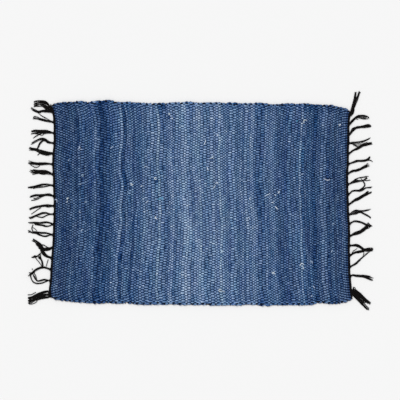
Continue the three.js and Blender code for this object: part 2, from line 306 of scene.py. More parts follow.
@dataclass(frozen=True)
class BlackWarpCotton:
    """Two-ply cotton warp yarn, dyed black, a little dusty and brown where it has worn.

    The eye sees matt black cords with a fine slanting ply and a faint brown-grey bloom.
    """

    dye: tuple[tuple[float, str], ...] = (
        (0.0, "030303"),
        (0.5, "0d0b0b"),
        (0.75, "231f1d"),
        (1.0, "4a433e"),
    )
    name: str = "black_cotton_yarn"
    ply_scale: tuple[float, float, float] = (0.55, 0.9, 1.0)  # a turn of the ply in about 1.8 mm
    bloom_scale: float = 0.22
    roughness: float = 0.9
    bump_height: float = 0.0003

    def make(self) -> bpy.types.Material:
        """Makes the material."""
        material, tree = new_material(self.name)
        lay = add_node(tree, "UVMap", {"uv_map": LAY_MAP})
        settings = {"Scale": self.bloom_scale, "Detail": 4.0, "Roughness": 0.65}
        bloom = add_node(tree, "TexNoise", settings, {"Vector": lay})
        dyed = add_node(tree, "ValToRGB", links={"Fac": bloom})
        set_ramp(dyed, self.dye)
        turned = add_node(tree, "Mapping", {"Scale": self.ply_scale}, {"Vector": lay})
        settings = {"bands_direction": "DIAGONAL", "Scale": 0.5, "Distortion": 0.6}
        ply = add_node(tree, "TexWave", settings, {"Vector": turned})
        settings = {"Strength": 0.8, "Distance": self.bump_height}
        bump = add_node(tree, "Bump", settings, {"Height": ply.outputs["Fac"]})
        settings = {"Roughness": self.roughness, "Sheen Roughness": 0.5, **COTTON_DULLNESS}
        shader = add_node(tree, "BsdfPrincipled", settings, {"Base Color": dyed, "Normal": bump})
        add_node(tree, "OutputMaterial", links={"Surface": shader})
        return material


# Inside the cloth the same yarn has taken up loose indigo from the rag.
STAINED_DYE = ((0.0, "000c22"), (0.55, "001632"), (0.85, "042246"), (1.0, "12355c"))


@dataclass
class StrandSkin:
    """Gathers strands, each a row of rings, into one mesh with its maps and attributes."""

    sides: int
    round_mm: float  # about how far it is round a strand
    points: list[np.ndarray] = field(default_factory=list)
    quads: list[np.ndarray] = field(default_factory=list)
    caps: list[np.ndarray] = field(default_factory=list)
    lay: list[np.ndarray] = field(default_factory=list)
    values: dict[str, list[np.ndarray]] = field(default_factory=dict)
    count: int = 0

    def add(self, rings: np.ndarray, gone: np.ndarray, values: dict[str, np.ndarray] | None = None) -> None:
        """Adds one strand.

        Args:
            rings: Points in mm, by ring and by side.
            gone: How far along the strand each ring is, in mm.
            values: Attributes by name, each a number for every point.
        """
        runs, sides = len(rings) - 1, self.sides
        ring = np.arange(runs)[:, None] * sides
        near = np.arange(sides)[None, :]
        far = (near + 1) % sides
        faces = np.stack([ring + near, ring + far, ring + sides + far, ring + sides + near], axis=2)
        self.quads.append(faces.reshape(-1, 4) + self.count)
        last = self.count + runs * sides
        self.caps += [np.arange(self.count, self.count + sides)[::-1], np.arange(last, last + sides)]
        start = np.broadcast_to(gone[:-1, None], (runs, sides))
        end = np.broadcast_to(gone[1:, None], (runs, sides))
        low = np.broadcast_to(near * (self.round_mm / sides), (runs, sides))
        high = low + self.round_mm / sides
        corners = [(start, low), (start, high), (end, high), (end, low)]
        self.lay.append(np.stack([np.stack(pair, axis=2) for pair in corners], axis=2).reshape(-1, 4, 2))
        self.points.append(rings.reshape(-1, 3))
        for name, value in (values or {}).items():
            self.values.setdefault(name, []).append(np.broadcast_to(value, rings.shape[:2]).ravel())
        self.count += rings.shape[0] * sides

    def bake_rows(self) -> np.ndarray:
        """Lays all the faces out as rows of one square, and returns each corner's place."""
        quads = np.vstack(self.quads)
        runs = len(quads) // self.sides
        length = sum(float(np.ptp(lay[..., 0])) for lay in self.lay)
        rows = max(round(math.sqrt(length / self.round_mm)), 1)
        per_row = math.ceil(runs / rows)
        run, side = np.divmod(np.arange(len(quads)), self.sides)
        row, place = np.divmod(run, per_row)
        left, right = place / per_row, (place + 1) / per_row
        used = 1 - 2 * ROW_MARGIN
        low = (row + ROW_MARGIN + used * side / self.sides) / rows
        high = (row + ROW_MARGIN + used * (side + 1) / self.sides) / rows
        corners = ((left, low), (left, high), (right, high), (right, low))
        return np.stack([np.stack(pair, axis=1) for pair in corners], axis=1)

    def make(self, name: str, material: bpy.types.Material) -> bpy.types.Object:
        """Makes the mesh and its object.

        Args:
            name: The piece's name.
            material: What it wears.

        Returns:
            The new object, at the origin.
        """
        points, quads = np.vstack(self.points) * METRES, np.vstack(self.quads)
        caps = np.array(self.caps)
        corners = np.concatenate([quads.ravel(), caps.ravel()])
        sizes = np.concatenate([np.full(len(quads), 4), np.full(len(caps), self.sides)])
        mesh = bpy.data.meshes.new(name)
        mesh.vertices.add(len(points))
        mesh.vertices.foreach_set("co", points.astype(np.float32).ravel())
        mesh.loops.add(len(corners))
        mesh.loops.foreach_set("vertex_index", corners.astype(np.int32))
        mesh.polygons.add(len(sizes))
        starts = np.concatenate([[0], np.cumsum(sizes)[:-1]])
        mesh.polygons.foreach_set("loop_start", starts.astype(np.int32))
        mesh.polygons.foreach_set("use_smooth", np.arange(len(sizes)) < len(quads))
        mesh.update(calc_edges=True)
        for label, places in ((BAKE_MAP, self.bake_rows()), (LAY_MAP, np.vstack(self.lay))):
            layer = mesh.uv_layers.new(name=label)
            capped = np.zeros((caps.size, 2)) + places.reshape(-1, 2)[0]
            whole = np.vstack([places.reshape(-1, 2), capped])
            layer.uv.foreach_set("vector", whole.astype(np.float32).ravel())
        for label, value in self.values.items():
            attribute = mesh.attributes.new(label, "FLOAT", "POINT")
            attribute.data.foreach_set("value", np.concatenate(value).astype(np.float32))
        mesh.materials.append(material)
        piece = bpy.data.objects.new(name, mesh)
        bpy.context.scene.collection.objects.link(piece)
        return piece


def rings_on(
    line: np.ndarray, sideways: np.ndarray, half_width: np.ndarray, half_height: np.ndarray, sides: int
) -> np.ndarray:
    """Puts a flattened ring round each point of a line.

    Args:
        line: The points in mm.
        sideways: The direction in which the rings are wide, one or one a point. It is made square
            to the line here.
        half_width: Half the width of each ring.
        half_height: Half its height.
        sides: How many points a ring has.

    Returns:
        The rings' points, by ring and by side.
    """
    along = np.gradient(line, axis=0)
    along /= np.linalg.norm(along, axis=1, keepdims=True)
    wide = sideways - along * np.sum(sideways * along, axis=1, keepdims=True)
    wide /= np.linalg.norm(wide, axis=1, keepdims=True)
    high = np.cross(along, wide)
    angle = np.arange(sides) * (math.tau / sides)
    across, up = np.cos(angle), np.sin(angle) / max(np.sin(angle).max(), 1e-9)
    if sides == 6:
        across = np.where(np.abs(across) < 0.9, across * HEXAGON_SHOULDER, across)
    return (
        line[:, None, :]
        + wide[:, None, :] * (half_width[:, None] * across)[..., None]
        + high[:, None, :] * (half_height[:, None] * up)[..., None]
    )


class Dye(Enum):
    """How a stripe's dye differs from the rest: tone, hue, and how far it has washed out."""

    INDIGO = (-0.09, 0.03, -0.02)
    WASHED = (0.14, -0.02, 0.05)
    GREEN = (0.11, -0.16, 0.08)
    VIOLET = (-0.10, 0.18, 0.0)
    BLACK = (-0.16, 0.0, 0.08)


@dataclass
class RagShades:
    """The shade of the weft: rag strips that follow each other, a few bold stripes, a lighter middle and
    painted shadows.
    """

    seed: int = 7
    middle_tone: float = 0.611
    end_tone: float = -0.14  # at the rug's two ends
    tone_at_middle: float = 0.08  # in its middle, lighter than at its ends
    end_washed: float = 0.15  # how far the dye has washed out at the two ends
    washed_reach: float = 130.0  # mm from an end over which that fades
    # The stripes that stand out at a glance, each one rag right across the rug: pick and dye.
    stripes: tuple[tuple[int, Dye], ...] = (
        (0, Dye.BLACK), (9, Dye.INDIGO), (16, Dye.WASHED), (25, Dye.WASHED), (30, Dye.VIOLET),
        (39, Dye.GREEN), (48, Dye.WASHED), (54, Dye.GREEN), (61, Dye.GREEN), (65, Dye.VIOLET),
        (72, Dye.WASHED), (88, Dye.VIOLET), (93, Dye.WASHED), (102, Dye.WASHED), (107, Dye.BLACK),
        (112, Dye.INDIGO),
    )  # fmt: skip
    # Painted shadows: dark spots beside the rag ends that stand out, where the weave has opened: mm along
    # and across, reach, how much darker.
    painted_shadows: tuple[tuple[float, float, float, float], ...] = (
        (-210, 46, 4, 0.3), (-222, 64, 6, 0.25), (-97, 257, 4, 0.35), (-33, 217, 6, 0.2),
        (-133, 67, 4, 0.3),
        (-291, -62, 6, 0.3), (378, 70, 6, 0.3), (-176, 46, 3, 0.25), (30, 130, 5, 0.2), (-348, 78, 4, 0.2),
        (300, -200, 5, 0.2), (228, -4, 4, 0.2), (60, -154, 5, 0.2), (-120, 22, 5, 0.2), (318, 240, 4, 0.15),
        (-396, 4, 4, 0.25), (54, 44, 5, 0.2), (56, -262, 5, 0.2),
    )  # fmt: skip
    strip_limit: float = 0.16
    strip_tone: float = 0.026
    strip_hue: float = 0.05
    strip_washed: float = 0.02
    pick_tone: float = 0.05
    shortest_strip: float = 200.0
    longest_strip: float = 1500.0
    bead_tone: float = 0.062
    patch_tone: float = 0.03
    patch_hue: float = 0.085
    patch_washed: float = 0.032

    def charted(
        self, x: np.ndarray, y: np.ndarray, pick: np.ndarray
    ) -> tuple[np.ndarray, np.ndarray, np.ndarray]:
        """Works out the lighter middle, the bold stripes and the painted shadows beside the rag ends.

        Args:
            x: Places along the rug, in mm.
            y: Places across it, in mm.
            pick: The pick at each place.

        Returns:
            The change of tone, the change of hue and how far the dye has washed out, at each place.
        """
        from_middle = np.abs(x)
        middle_share_and_painted_relief = smooth_step(WEAVE_REACH, 0.0, from_middle)
        tone = self.end_tone + (self.tone_at_middle - self.end_tone) * middle_share_and_painted_relief
        hue = np.zeros_like(x)
        washed = self.end_washed * smooth_step(WEAVE_REACH - self.washed_reach, WEAVE_REACH, from_middle)
        for number, dye in self.stripes:
            for change, amount in zip((tone, hue, washed), dye.value, strict=True):
                change[pick == number] += amount
        # A painted shadow beside each rag end that stands out.
        for place, across, reach, darker in self.painted_shadows:
            tone -= darker * np.exp(-(((x - place) / reach) ** 2) - ((y - across) / (reach * 0.8)) ** 2)
        return tone, hue, washed

    def strips(self, gone: np.ndarray) -> tuple[np.ndarray, np.ndarray, np.ndarray]:
        """Deals out rag strips along the whole weft.

        Args:
            gone: How far along the weft each point is, in mm.

        Returns:
            The tone, hue and wash of the strip at each point.
        """
        rng = np.random.default_rng(self.seed)
        count = int(gone.max() / self.shortest_strip) + 2
        lengths = rng.uniform(self.shortest_strip, self.longest_strip, count)
        strip = np.searchsorted(np.cumsum(lengths), gone)
        tones = rng.normal(0, self.strip_tone, count).clip(-self.strip_limit, self.strip_limit)
        hues = rng.normal(0, self.strip_hue, count).clip(-1, 1)
        washed = rng.normal(0, self.strip_washed, count)
        return tones[strip], hues[strip], washed[strip]


def beads_at(number: np.ndarray) -> tuple[np.ndarray, np.ndarray]:
    """Returns the warp end nearest to each warp number, and how near that is to its bead's crown."""
    crossing = np.round(number).astype(int)
    return crossing, np.cos(math.pi * (number - crossing)) ** 2


@dataclass
class WovenWeft:
    """The rag weft: one strip after another, over and under the warp ends and back again.

    The weft runs on round the outermost warp ends at both selvedges, so each band of picks
    is one long strand.
    """

    material: bpy.types.Material
    shades: RagShades
    bands: int = 4
    sides: int = 6
    rings_a_crossing: int = 3
    middle_height: float = 3.2
    wave: float = 1.55
    thickness: float = 2.3
    width_on_top: float = 1.2  # of the pick's own room
    width_between: float = 0.95
    selvedge_inset: float = 4.2
    edge_wave: float = 1.3  # mm by which the turns pull the outermost warp ends in and out
    edge_wave_lengths: tuple[float, ...] = (43, 71, 118, 190)
    turn_rings: int = 6
    covered_turns: float = 0.76  # the share of turns whose rag hides the outermost warp end
    covered_spread: float = 0.65
    darker_turns: float = 0.13  # how much darker the turns are
    darker_beside_turns: float = 0.05  # and of the beads beside them
    narrow_bright: float = 0.09  # how much lighter a pick without any room would be
    turn_width: float = 0.36  # of the pick's own room
    turn_fullness: float = 0.45  # a half is an ellipse, and less is squarer
    turn_unevenness: float = 0.4
    bead_unevenness: float = 0.06
    thickness_unevenness: float = 0.05
    roughness_mm: float = 0.09
    headroom: float = 0.3  # mm by which a bead may stand above its even height
    roll_degrees: float = 9.0
    round_mm: float = 17.5  # the way round the strand
    strip_shift: float = 900.0  # mm of other strips between the bands
    painted_hollow_shade: float = -0.42  # painted shade: how much darker the rag is beside the warp, where it dips into the cloth
    crown_wear_and_highlight: float = 0.52  # and how much lighter its crowns are than that, partly wear and partly painted highlight
    # painted shade along the two sides of every strand, where the beads meet
    painted_side_shade: float = 0.07
    seed: int = 11
    strip_rooms: tuple[float, ...] = (0.68, 0.76, 0.82, 0.88, 0.94, 1.0, 1.06, 1.14, 1.26, 1.42)
    unevenness: float = 1.0
    uneven_waves: int = 14
    # Where the beater left the weft askew: mm along and across, reach each way, shift along.
    pulls: tuple[tuple[float, float, float, float, float], ...] = (
        (-236, 55, 45, 30, 5), (-246, -150, 45, 60, -4), (-250, -290, 60, 80, -4),
        (-240, 250, 40, 90, 4.5), (-54, 150, 40, 60, -3),
    )  # fmt: skip

    def rooms(self) -> np.ndarray:
        """Returns each pick's room along the rug, as a share of the rug's length."""
        rng = np.random.default_rng(self.seed)
        room = rng.choice(self.strip_rooms, PICKS) * rng.uniform(0.94, 1.06, PICKS)
        return room / room.sum()

    def edges_at(self, edge: np.ndarray, y: np.ndarray) -> np.ndarray:
        """Returns where the edges between picks lie along the rug.

        Neighbouring picks share their edge, so that the unevenness opens no slit.

        Args:
            edge: The number of each edge, from 0 at the left end.
            y: The place across the rug at which each is read.

        Returns:
            The places, in mm.
        """
        shares = np.concatenate([[0], np.cumsum(self.rooms())])
        share = shares[edge]
        x = place_on_pick(share, y) + END_YARN_ROOM * (1 - 2 * share)
        rng = np.random.default_rng(self.seed + 50)
        uneven = np.zeros_like(y)
        for _ in range(self.uneven_waves):
            picks_long, mm_long = rng.uniform(3.2, 13), rng.uniform(45, 260) * rng.choice((-1, 1))
            phase = rng.uniform(0, math.tau)
            uneven += np.sin((edge / picks_long + y / mm_long) * math.tau + phase)
        calm = smooth_step(0.0, 0.03, share) * smooth_step(1.0, 0.97, share)
        x += self.unevenness * calm * uneven / math.sqrt(self.uneven_waves / 2)
        for place, across, reach, reach_across, shift in self.pulls:
            x += shift * np.exp(-(((x - place) / reach) ** 2) - ((y - across) / reach_across) ** 2)
        return x

    def warp_places(self, x: np.ndarray, number: np.ndarray) -> np.ndarray:
        """Returns the y of the warp ends with these numbers at these places along the rug."""
        low = along_curve(LOWER_SELVEDGE, x) + self.selvedge_inset
        high = along_curve(UPPER_SELVEDGE, x) - self.selvedge_inset
        share = number / (WARP_ENDS - 1)
        rng = np.random.default_rng(self.seed + 200)
        wavy = self.edge_wave * waves(rng, self.edge_wave_lengths, x) * smooth_step(0.08, 0.0, share)
        wavy += self.edge_wave * waves(rng, self.edge_wave_lengths, x) * smooth_step(0.92, 1.0, share)
        return low + (high - low) * share + wavy

    def spread_at_selvedge(self) -> np.ndarray:
        """Returns how much broader each pick lies at its two selvedges, where turns are bulky."""
        rng = np.random.default_rng(self.seed + 100)
        bulky = rng.uniform(0, 1, (PICKS // 2 + 2, 2)) < self.covered_turns
        return np.repeat(bulky, 2, axis=0)[1 : PICKS + 1] * self.covered_spread

    def pick_line(self, pick: int) -> tuple[np.ndarray, np.ndarray, np.ndarray]:
        """Draws the middle line of one pick, in the direction in which it was laid in.

        Args:
            pick: Its number from the left end.

        Returns:
            The line's points, and the warp number and the pick's room along the rug at each one.
        """
        crossings = (WARP_ENDS - 1) * self.rings_a_crossing
        number = np.arange(crossings + 1) / self.rings_a_crossing
        middle = -WEAVE_REACH + 2 * WEAVE_REACH * (pick + 0.5) / PICKS
        y = self.warp_places(np.full_like(number, middle), number)
        left = self.edges_at(np.full(len(y), pick), y)
        right = self.edges_at(np.full(len(y), pick + 1), y)
        z = self.middle_height + self.wave * np.cos(math.pi * (number + pick))
        line = np.stack([(left + right) / 2, y, z], axis=1)
        step = 1 if pick % 2 == 0 else -1
        return line[::step], number[::step], (right - left)[::step]

    def turn(self, leaves: np.ndarray, arrives: np.ndarray, outwards: float) -> np.ndarray:
        """Takes the weft round the outermost warp end.

        Args:
            leaves: The last point of a pick.
            arrives: The first point of the next one.
            outwards: 1 at the upper selvedge and -1 at the lower one.

        Returns:
            The points between them.
        """
        angle = (np.arange(self.turn_rings) + 1) / (self.turn_rings + 1) * math.pi
        share = angle / math.pi
        line = leaves + (arrives - leaves) * share[:, None]
        uneven = self.turn_unevenness * math.sin(leaves[0] * 0.31 + outwards)
        reach = self.selvedge_inset - self.thickness / 2 + uneven
        line[:, 1] += outwards * reach * np.sin(angle) ** self.turn_fullness
        line[:, 2] = self.middle_height - np.cos(angle) * (arrives[2] - leaves[2]) / 2
        return line

    def band_picks(self, band: int) -> tuple[int, int]:
        """Returns a band's first pick and the one after its last."""
        cuts = np.linspace(0, PICKS, self.bands + 1).round().astype(int)
        return int(cuts[band]), int(cuts[band + 1])

    def flat_size(self, band: int) -> tuple[float, float]:
        """Returns how wide a band of the flat cloth is, and how long its picks are, in metres."""
        first, last = self.band_picks(band)
        return float(self.rooms()[first:last].sum()) * CLOTH_LENGTH * METRES, CLOTH_WIDTH * METRES

    def make_band(self, band: int) -> bpy.types.Object:
        """Makes one band of picks.

        Args:
            band: Its number from the left end.

        Returns:
            The piece.
        """
        first, last = self.band_picks(band)
        lines, numbers, rooms, picks = [], [], [], []
        for pick in range(first, last + (last < PICKS)):
            line, number, room = self.pick_line(pick)
            if lines:
                turn = self.turn(lines[-1][-1], line[0], 1 if pick % 2 else -1)
                lines.append(turn)
                numbers.append(np.full(len(turn), number[0]))
                rooms.append(np.full(len(turn), (rooms[-1][-1] + room[0]) / 2))
                picks.append(np.full(len(turn), pick - 0.5))
            if pick < last:
                lines.append(line)
                numbers.append(number)
                rooms.append(room)
                picks.append(np.full(len(line), float(pick)))
        if last == PICKS:
            tail = lines[-1][-1] + np.array([[0.2, 1.6, -0.6], [0.0, 3.2, -1.0]])
            lines.append(tail)
            numbers.append(np.full(2, numbers[-1][-1]))
            rooms.append(np.full(2, rooms[-1][-1]))
            picks.append(np.full(2, float(PICKS - 1)))
        line, number = np.vstack(lines), np.concatenate(numbers)
        return self.skin(
            f"weft_band_{band + 1}", line, number, np.concatenate(picks), np.concatenate(rooms)
        )

    def skin(
        self, name: str, line: np.ndarray, number: np.ndarray, pick: np.ndarray, room: np.ndarray
    ) -> bpy.types.Object:
        """Gives a band's line its thickness, its uneven beads and its shades.

        Args:
            name: The piece's name.
            line: The middle line, in mm.
            number: The warp number at each point.
            pick: The pick at each point, with a half in a turn.
            room: The pick's room along the rug at each point, in mm.

        Returns:
            The piece.
        """
        own = np.floor(pick).astype(int).clip(0, PICKS - 1)
        rng = np.random.default_rng(self.seed + own[0])
        crossing, on_top = beads_at(number)
        lump = rng.normal(0, self.bead_unevenness, (PICKS, WARP_ENDS))[own, crossing]
        share = self.width_between + (self.width_on_top - self.width_between) * on_top
        half_width = room / 2 * share * (1 + lump * on_top)
        in_turn = pick != own
        half_width[in_turn] = room[in_turn] * self.turn_width
        bulk = self.spread_at_selvedge()[own]
        half_width *= 1 + bulk[:, 0] * smooth_step(2.2, 0.6, number)
        half_width *= 1 + bulk[:, 1] * smooth_step(WARP_ENDS - 3.2, WARP_ENDS - 1.6, number)
        half_height = self.thickness / 2 * (1 + rng.normal(0, self.thickness_unevenness, len(line)))
        gone = length_along(line)
        roll = np.radians(self.roll_degrees) * waves(rng, (31, 77, 143), gone)
        sideways = np.stack([np.cos(roll), np.zeros_like(roll), np.sin(roll)], axis=1)
        rings = rings_on(line, sideways, half_width, half_height, self.sides)
        rings += rng.normal(0, self.roughness_mm, rings.shape)
        rings[..., 2] = rings[..., 2].clip(0.0, 2 * self.middle_height + self.headroom)
        skin = StrandSkin(self.sides, self.round_mm)
        skin.add(rings, gone, self.shade(rings, line, own, number, room, gone, rng))
        return skin.make(name, self.material)

    def shade(
        self,
        rings: np.ndarray,
        line: np.ndarray,
        own: np.ndarray,
        number: np.ndarray,
        room: np.ndarray,
        gone: np.ndarray,
        rng: np.random.Generator,
    ) -> dict[str, np.ndarray]:
        """Works out the tone, hue and wash of every point of a band.

        Args:
            rings: The points, by ring and by side.
            line: The middle line.
            own: The pick at each ring.
            number: The warp number at each ring.
            room: The pick's room along the rug at each ring.
            gone: How far along the band each ring is.
            rng: The source of the bead-to-bead differences.

        Returns:
            The attributes by name, by ring and by side.
        """
        shades = self.shades
        crossing, on_top = beads_at(number)
        x, y = line[:, 0], line[:, 1]
        tone, hue, washed = shades.charted(x, y, own)
        strip_tone, strip_hue, strip_washed = shades.strips(gone + own[0] * self.strip_shift)
        beads = rng.normal(0, shades.bead_tone, (PICKS, WARP_ENDS))[own, crossing]
        patch = shades.patch_tone * waves(rng, (90, 210, 370), y + 3 * x)
        dyed = np.random.default_rng(shades.seed + 1)
        patch_hue = waves(dyed, (90, 160, 290), y + 2 * x)
        patch_hue += waves(dyed, (110, 240), y - 3 * x)
        patch_washed = waves(dyed, (130, 310), y + 4 * x)
        patch_washed += waves(dyed, (100, 200), y - 2 * x)
        of_pick = np.random.default_rng(shades.seed).normal(0, shades.pick_tone, PICKS)[own]
        whole = shades.middle_tone + tone + strip_tone + of_pick + beads * on_top + patch
        # Painted shade and highlight: the rag darkens where it dips towards the middle of the cloth and
        # lightens at its crowns, the crowns partly from wear.
        depth = np.abs(rings[..., 2] - self.middle_height)
        middle_share_and_painted_relief = self.painted_hollow_shade + self.crown_wear_and_highlight * smooth_step(0.7, 2.6, depth)
        # Painted shade along the two sides of every strand.
        shaded_sides = np.abs(np.cos(np.arange(self.sides) * math.tau / self.sides)) > 0.9
        middle_share_and_painted_relief = middle_share_and_painted_relief - self.painted_side_shade * shaded_sides[None, :]
        # The turns at the selvedges, and the beads beside them, are made darker.
        outer = smooth_step(0.9, 0.1, number) + smooth_step(WARP_ENDS - 1.9, WARP_ENDS - 1.1, number)
        beside = smooth_step(4.5, 1.5, number) + smooth_step(WARP_ENDS - 5.5, WARP_ENDS - 2.5, number)
        whole = whole - self.darker_turns * outer - self.darker_beside_turns * beside
        whole = whole + self.narrow_bright * (1 - room / (2 * WEAVE_REACH / PICKS))
        return {
            "rag_tone": (whole[:, None] + middle_share_and_painted_relief).clip(0.02, 0.98),
            "rag_hue": (hue + strip_hue + shades.patch_hue * patch_hue)[:, None],
            "rag_wash": (washed + strip_washed + shades.patch_washed * patch_washed)[:, None],
        }

    def make(self) -> list[bpy.types.Object]:
        """Makes every band."""
        return [self.make_band(band) for band in range(self.bands)]


@dataclass
class WarpYarn:
    """The black warp ends inside the cloth, with thicker ones at the selvedges."""

    stained: bpy.types.Material
    black: bpy.types.Material
    weft: WovenWeft
    sides: int = 6
    stations: int = 18
    half_thickness: float = 0.6
    round_mm: float = 5.0
    lay_shift: float = 37.0  # mm by which each yarn's plies are out of step with the last one's
    overrun: float = 2.0
    selvedge_stations: int = 72
    selvedge_half_thickness: float = 1.9
    selvedge_flatness: float = 0.8
    selvedge_rise: float = 0.5

    def make(self) -> list[bpy.types.Object]:
        """Makes the inner warp ends as one piece and the two outermost as another."""
        inner = self.make_ends("warp_yarn", range(1, WARP_ENDS - 1), self.stained)
        outer = self.make_ends("selvedge_warp", (0, WARP_ENDS - 1), self.black)
        return [inner, outer]

    def make_ends(
        self, name: str, numbers: Sequence[int], material: bpy.types.Material
    ) -> bpy.types.Object:
        """Makes some of the warp ends as one piece.

        Args:
            name: The piece's name.
            numbers: The numbers of the warp ends, from the lower selvedge.
            material: What they wear.

        Returns:
            The piece.
        """
        skin = StrandSkin(self.sides, self.round_mm)
        for number in numbers:
            outer = number in (0, WARP_ENDS - 1)
            stations = self.selvedge_stations if outer else self.stations
            x = np.linspace(-WEAVE_REACH, WEAVE_REACH, stations)
            y = self.weft.warp_places(x, np.full_like(x, number))
            ends = between_ends(np.linspace(0, 1, stations), y)
            ends[0] -= self.overrun
            ends[-1] += self.overrun
            line = np.stack([ends, y, np.full_like(x, self.weft.middle_height)], axis=1)
            line[:, 2] += self.selvedge_rise if outer else 0.0
            half = np.full(len(line), self.selvedge_half_thickness if outer else self.half_thickness)
            half_height = half * (self.selvedge_flatness if outer else 1.0)
            rings = rings_on(line, np.array([0.0, 1.0, 0.0]), half, half_height, self.sides)
            gone = np.linalg.norm(line - line[0], axis=1)
            skin.add(rings, gone + self.lay_shift * number)
        return skin.make(name, material)


@dataclass
class Lock:
    """Warp ends that lie together: their path, how many they are and how broadly they lie."""

    path: tuple[tuple[float, float], ...]
    ends: int = 5
    width: float = 4.0


@dataclass
class Tassel:
    """One knot on the heading, at its place across the rug, and the locks that come out of it."""

    knot: float
    locks: tuple[Lock, ...]
    large: bool = False


@dataclass
class EndFringe:
    """The fringe of one end: warp ends drawn along the cloth's end into knots and tassels."""

    name: str
    side: int
    material: bpy.types.Material
    weft: WovenWeft
    tassels: tuple[Tassel, ...]
    loose_locks: tuple[Lock, ...]
    heading_ends: tuple[float, float]
    seed: int = 5
    heading_width: float = 4.6
    # The cords of the heading: how far out from the cloth's end and how high they lie, in mm.
    cords: tuple[tuple[float, float], ...] = ((-1.8, 3.6), (-0.2, 3.2), (1.4, 2.6), (3.0, 1.7))
    cord_stations: int = 240
    cord_half_thickness: float = 0.95
    yarn_half_thickness: float = 0.75
    end_half_thickness: float = 1.05
    fullness: float = 1.5  # how much broader the locks lie than charted
    step: float = 3.1  # between the rings of a loose end
    knot_half_thickness: float = 1.15
    fillet_places: tuple[float, ...] = (1.5, 3.5, 5.5, 7.5)
    knot_turn: float = 2.1
    large_turn: float = 1.3  # how much larger a large tassel's knot is
    large_strand: float = 1.2  # how much thicker the strand of its knot is
    large_reach: float = 1.5  # how much farther its fillets reach
    fan_at_knot: float = 0.66  # how broad a lock is where it begins, as a share of its width
    fan_when_loose: float = 0.5
    sides: int = 5
    round_mm: float = 4.0
    lay_shift: float = 23.7  # mm by which each strand's plies are out of step with the last one's

    def end_line(self, y: np.ndarray) -> np.ndarray:
        """Returns how far along the rug the cloth's end stands at these y."""
        return along_curve(LEFT_END if self.side < 0 else RIGHT_END, y)

    def add_strand(
        self, skin: StrandSkin, line: np.ndarray, half: float | np.ndarray, taper: float = 1.0
    ) -> None:
        """Adds a round strand on a line.

        Args:
            skin: The mesh that it joins.
            line: Its middle line.
            half: Half its thickness.
            taper: The share of its thickness that is left at its end.
        """
        line = line.copy()
        thickness = np.broadcast_to(half, len(line)) * np.linspace(1, taper, len(line)) ** 0.5
        line[:, 2] = np.maximum(line[:, 2], thickness)
        rings = rings_on(line, np.array([0.03, 0.02, 1.0]), thickness, thickness, self.sides)
        skin.add(rings, length_along(line) + self.lay_shift * len(skin.points))

    def make_heading(self, skin: StrandSkin, rng: np.random.Generator) -> None:
        """Adds the cords along the cloth's end and the warp ends that run to the knots.

        Args:
            skin: The mesh that they join.
            rng: The source of their unevenness.
        """
        y = np.linspace(*self.heading_ends, self.cord_stations)
        for out, height in self.cords:
            x = self.end_line(y) + self.side * (out + 0.25 * waves(rng, (23, 61, 140), y))
            z = height + 0.35 * np.sin(y * (math.tau / 8) + rng.uniform(0, 6))
            self.add_strand(skin, np.stack([x, y, z], axis=1), self.cord_half_thickness)
        knots = np.array([t.knot for t in self.tassels])
        corner = np.array([self.side * WEAVE_REACH])
        low = along_curve(LOWER_SELVEDGE, corner)[0] + self.weft.selvedge_inset
        high = along_curve(UPPER_SELVEDGE, corner)[0] - self.weft.selvedge_inset
        for number in range(WARP_ENDS):
            start = low + (high - low) * number / (WARP_ENDS - 1)
            knot = knots[np.abs(knots - start).argmin()]
            wall = self.end_line(np.array([start, knot]))
            points = np.array(
                [
                    [wall[0] - self.side * 3.0, start, 3.4],
                    [wall[0] + self.side * 0.9, start + (knot - start) * 0.12, 3.3],
                    [wall[0] + self.side * 2.4, start + (knot - start) * 0.6, 2.2],
                    [wall[1] + self.side * 4.8, knot + rng.normal(0, 0.8), 1.8],
                ]
            )
            points[1:, 2] += rng.normal(0, 0.25, 3)
            self.add_strand(skin, smooth_line(points, 8), self.yarn_half_thickness)

    def make_knot(self, skin: StrandSkin, tassel: Tassel, rng: np.random.Generator) -> None:
        """Adds the turns of a tassel's overhand knot.

        Args:
            skin: The mesh that they join.
            tassel: The tassel.
            rng: The source of its unevenness.
        """
        wall = self.end_line(np.array([tassel.knot]))[0]
        turns = np.linspace(0, 1.6 * math.tau, 20) + rng.uniform(0, 1)
        size = self.knot_turn * (self.large_turn if tassel.large else 1.0)
        run = np.linspace(-1.3, 1.5, len(turns)) + 0.6 * np.sin(turns)
        line = np.stack(
            [
                wall + self.side * (self.heading_width + run),
                tassel.knot + size * 1.15 * np.cos(turns),
                size * 0.85 + 0.5 + size * 0.75 * np.sin(turns),
            ],
            axis=1,
        )
        half = self.knot_half_thickness * (self.large_strand if tassel.large else 1.0)
        self.add_strand(skin, line, half)

    def make_fillet(self, skin: StrandSkin, tassel: Tassel, rng: np.random.Generator) -> None:
        """Adds the warp ends that sweep from the heading into a tassel, on both sides of it.

        Args:
            skin: The mesh that they join.
            tassel: The tassel.
            rng: The source of their unevenness.
        """
        joins = np.array([lock.path[0] for lock in tassel.locks[:2]])
        for away in self.fillet_places:
            for way in (-1, 1):
                start = tassel.knot + way * away * (self.large_reach if tassel.large else 1.0)
                wall = self.end_line(np.array([start, tassel.knot]))
                join = joins[0 if way * joins[0][1] >= way * joins[-1][1] else -1]
                points = np.array(
                    [
                        [wall[0] + self.side * 2.4, start, 2.6],
                        [wall[0] + self.side * 4.0, start * 0.55 + tassel.knot * 0.45, 2.1],
                        [wall[1] + self.side * 6.5, tassel.knot * 0.8 + join[1] * 0.2 + way * 1.2, 1.8],
                        [join[0] + self.side * 2, join[1] + way * 0.8, 1.6],
                    ]
                )
                points[:, 2] += rng.normal(0, 0.2, 4)
                self.add_strand(skin, smooth_line(points, 8), self.end_half_thickness * 0.9)

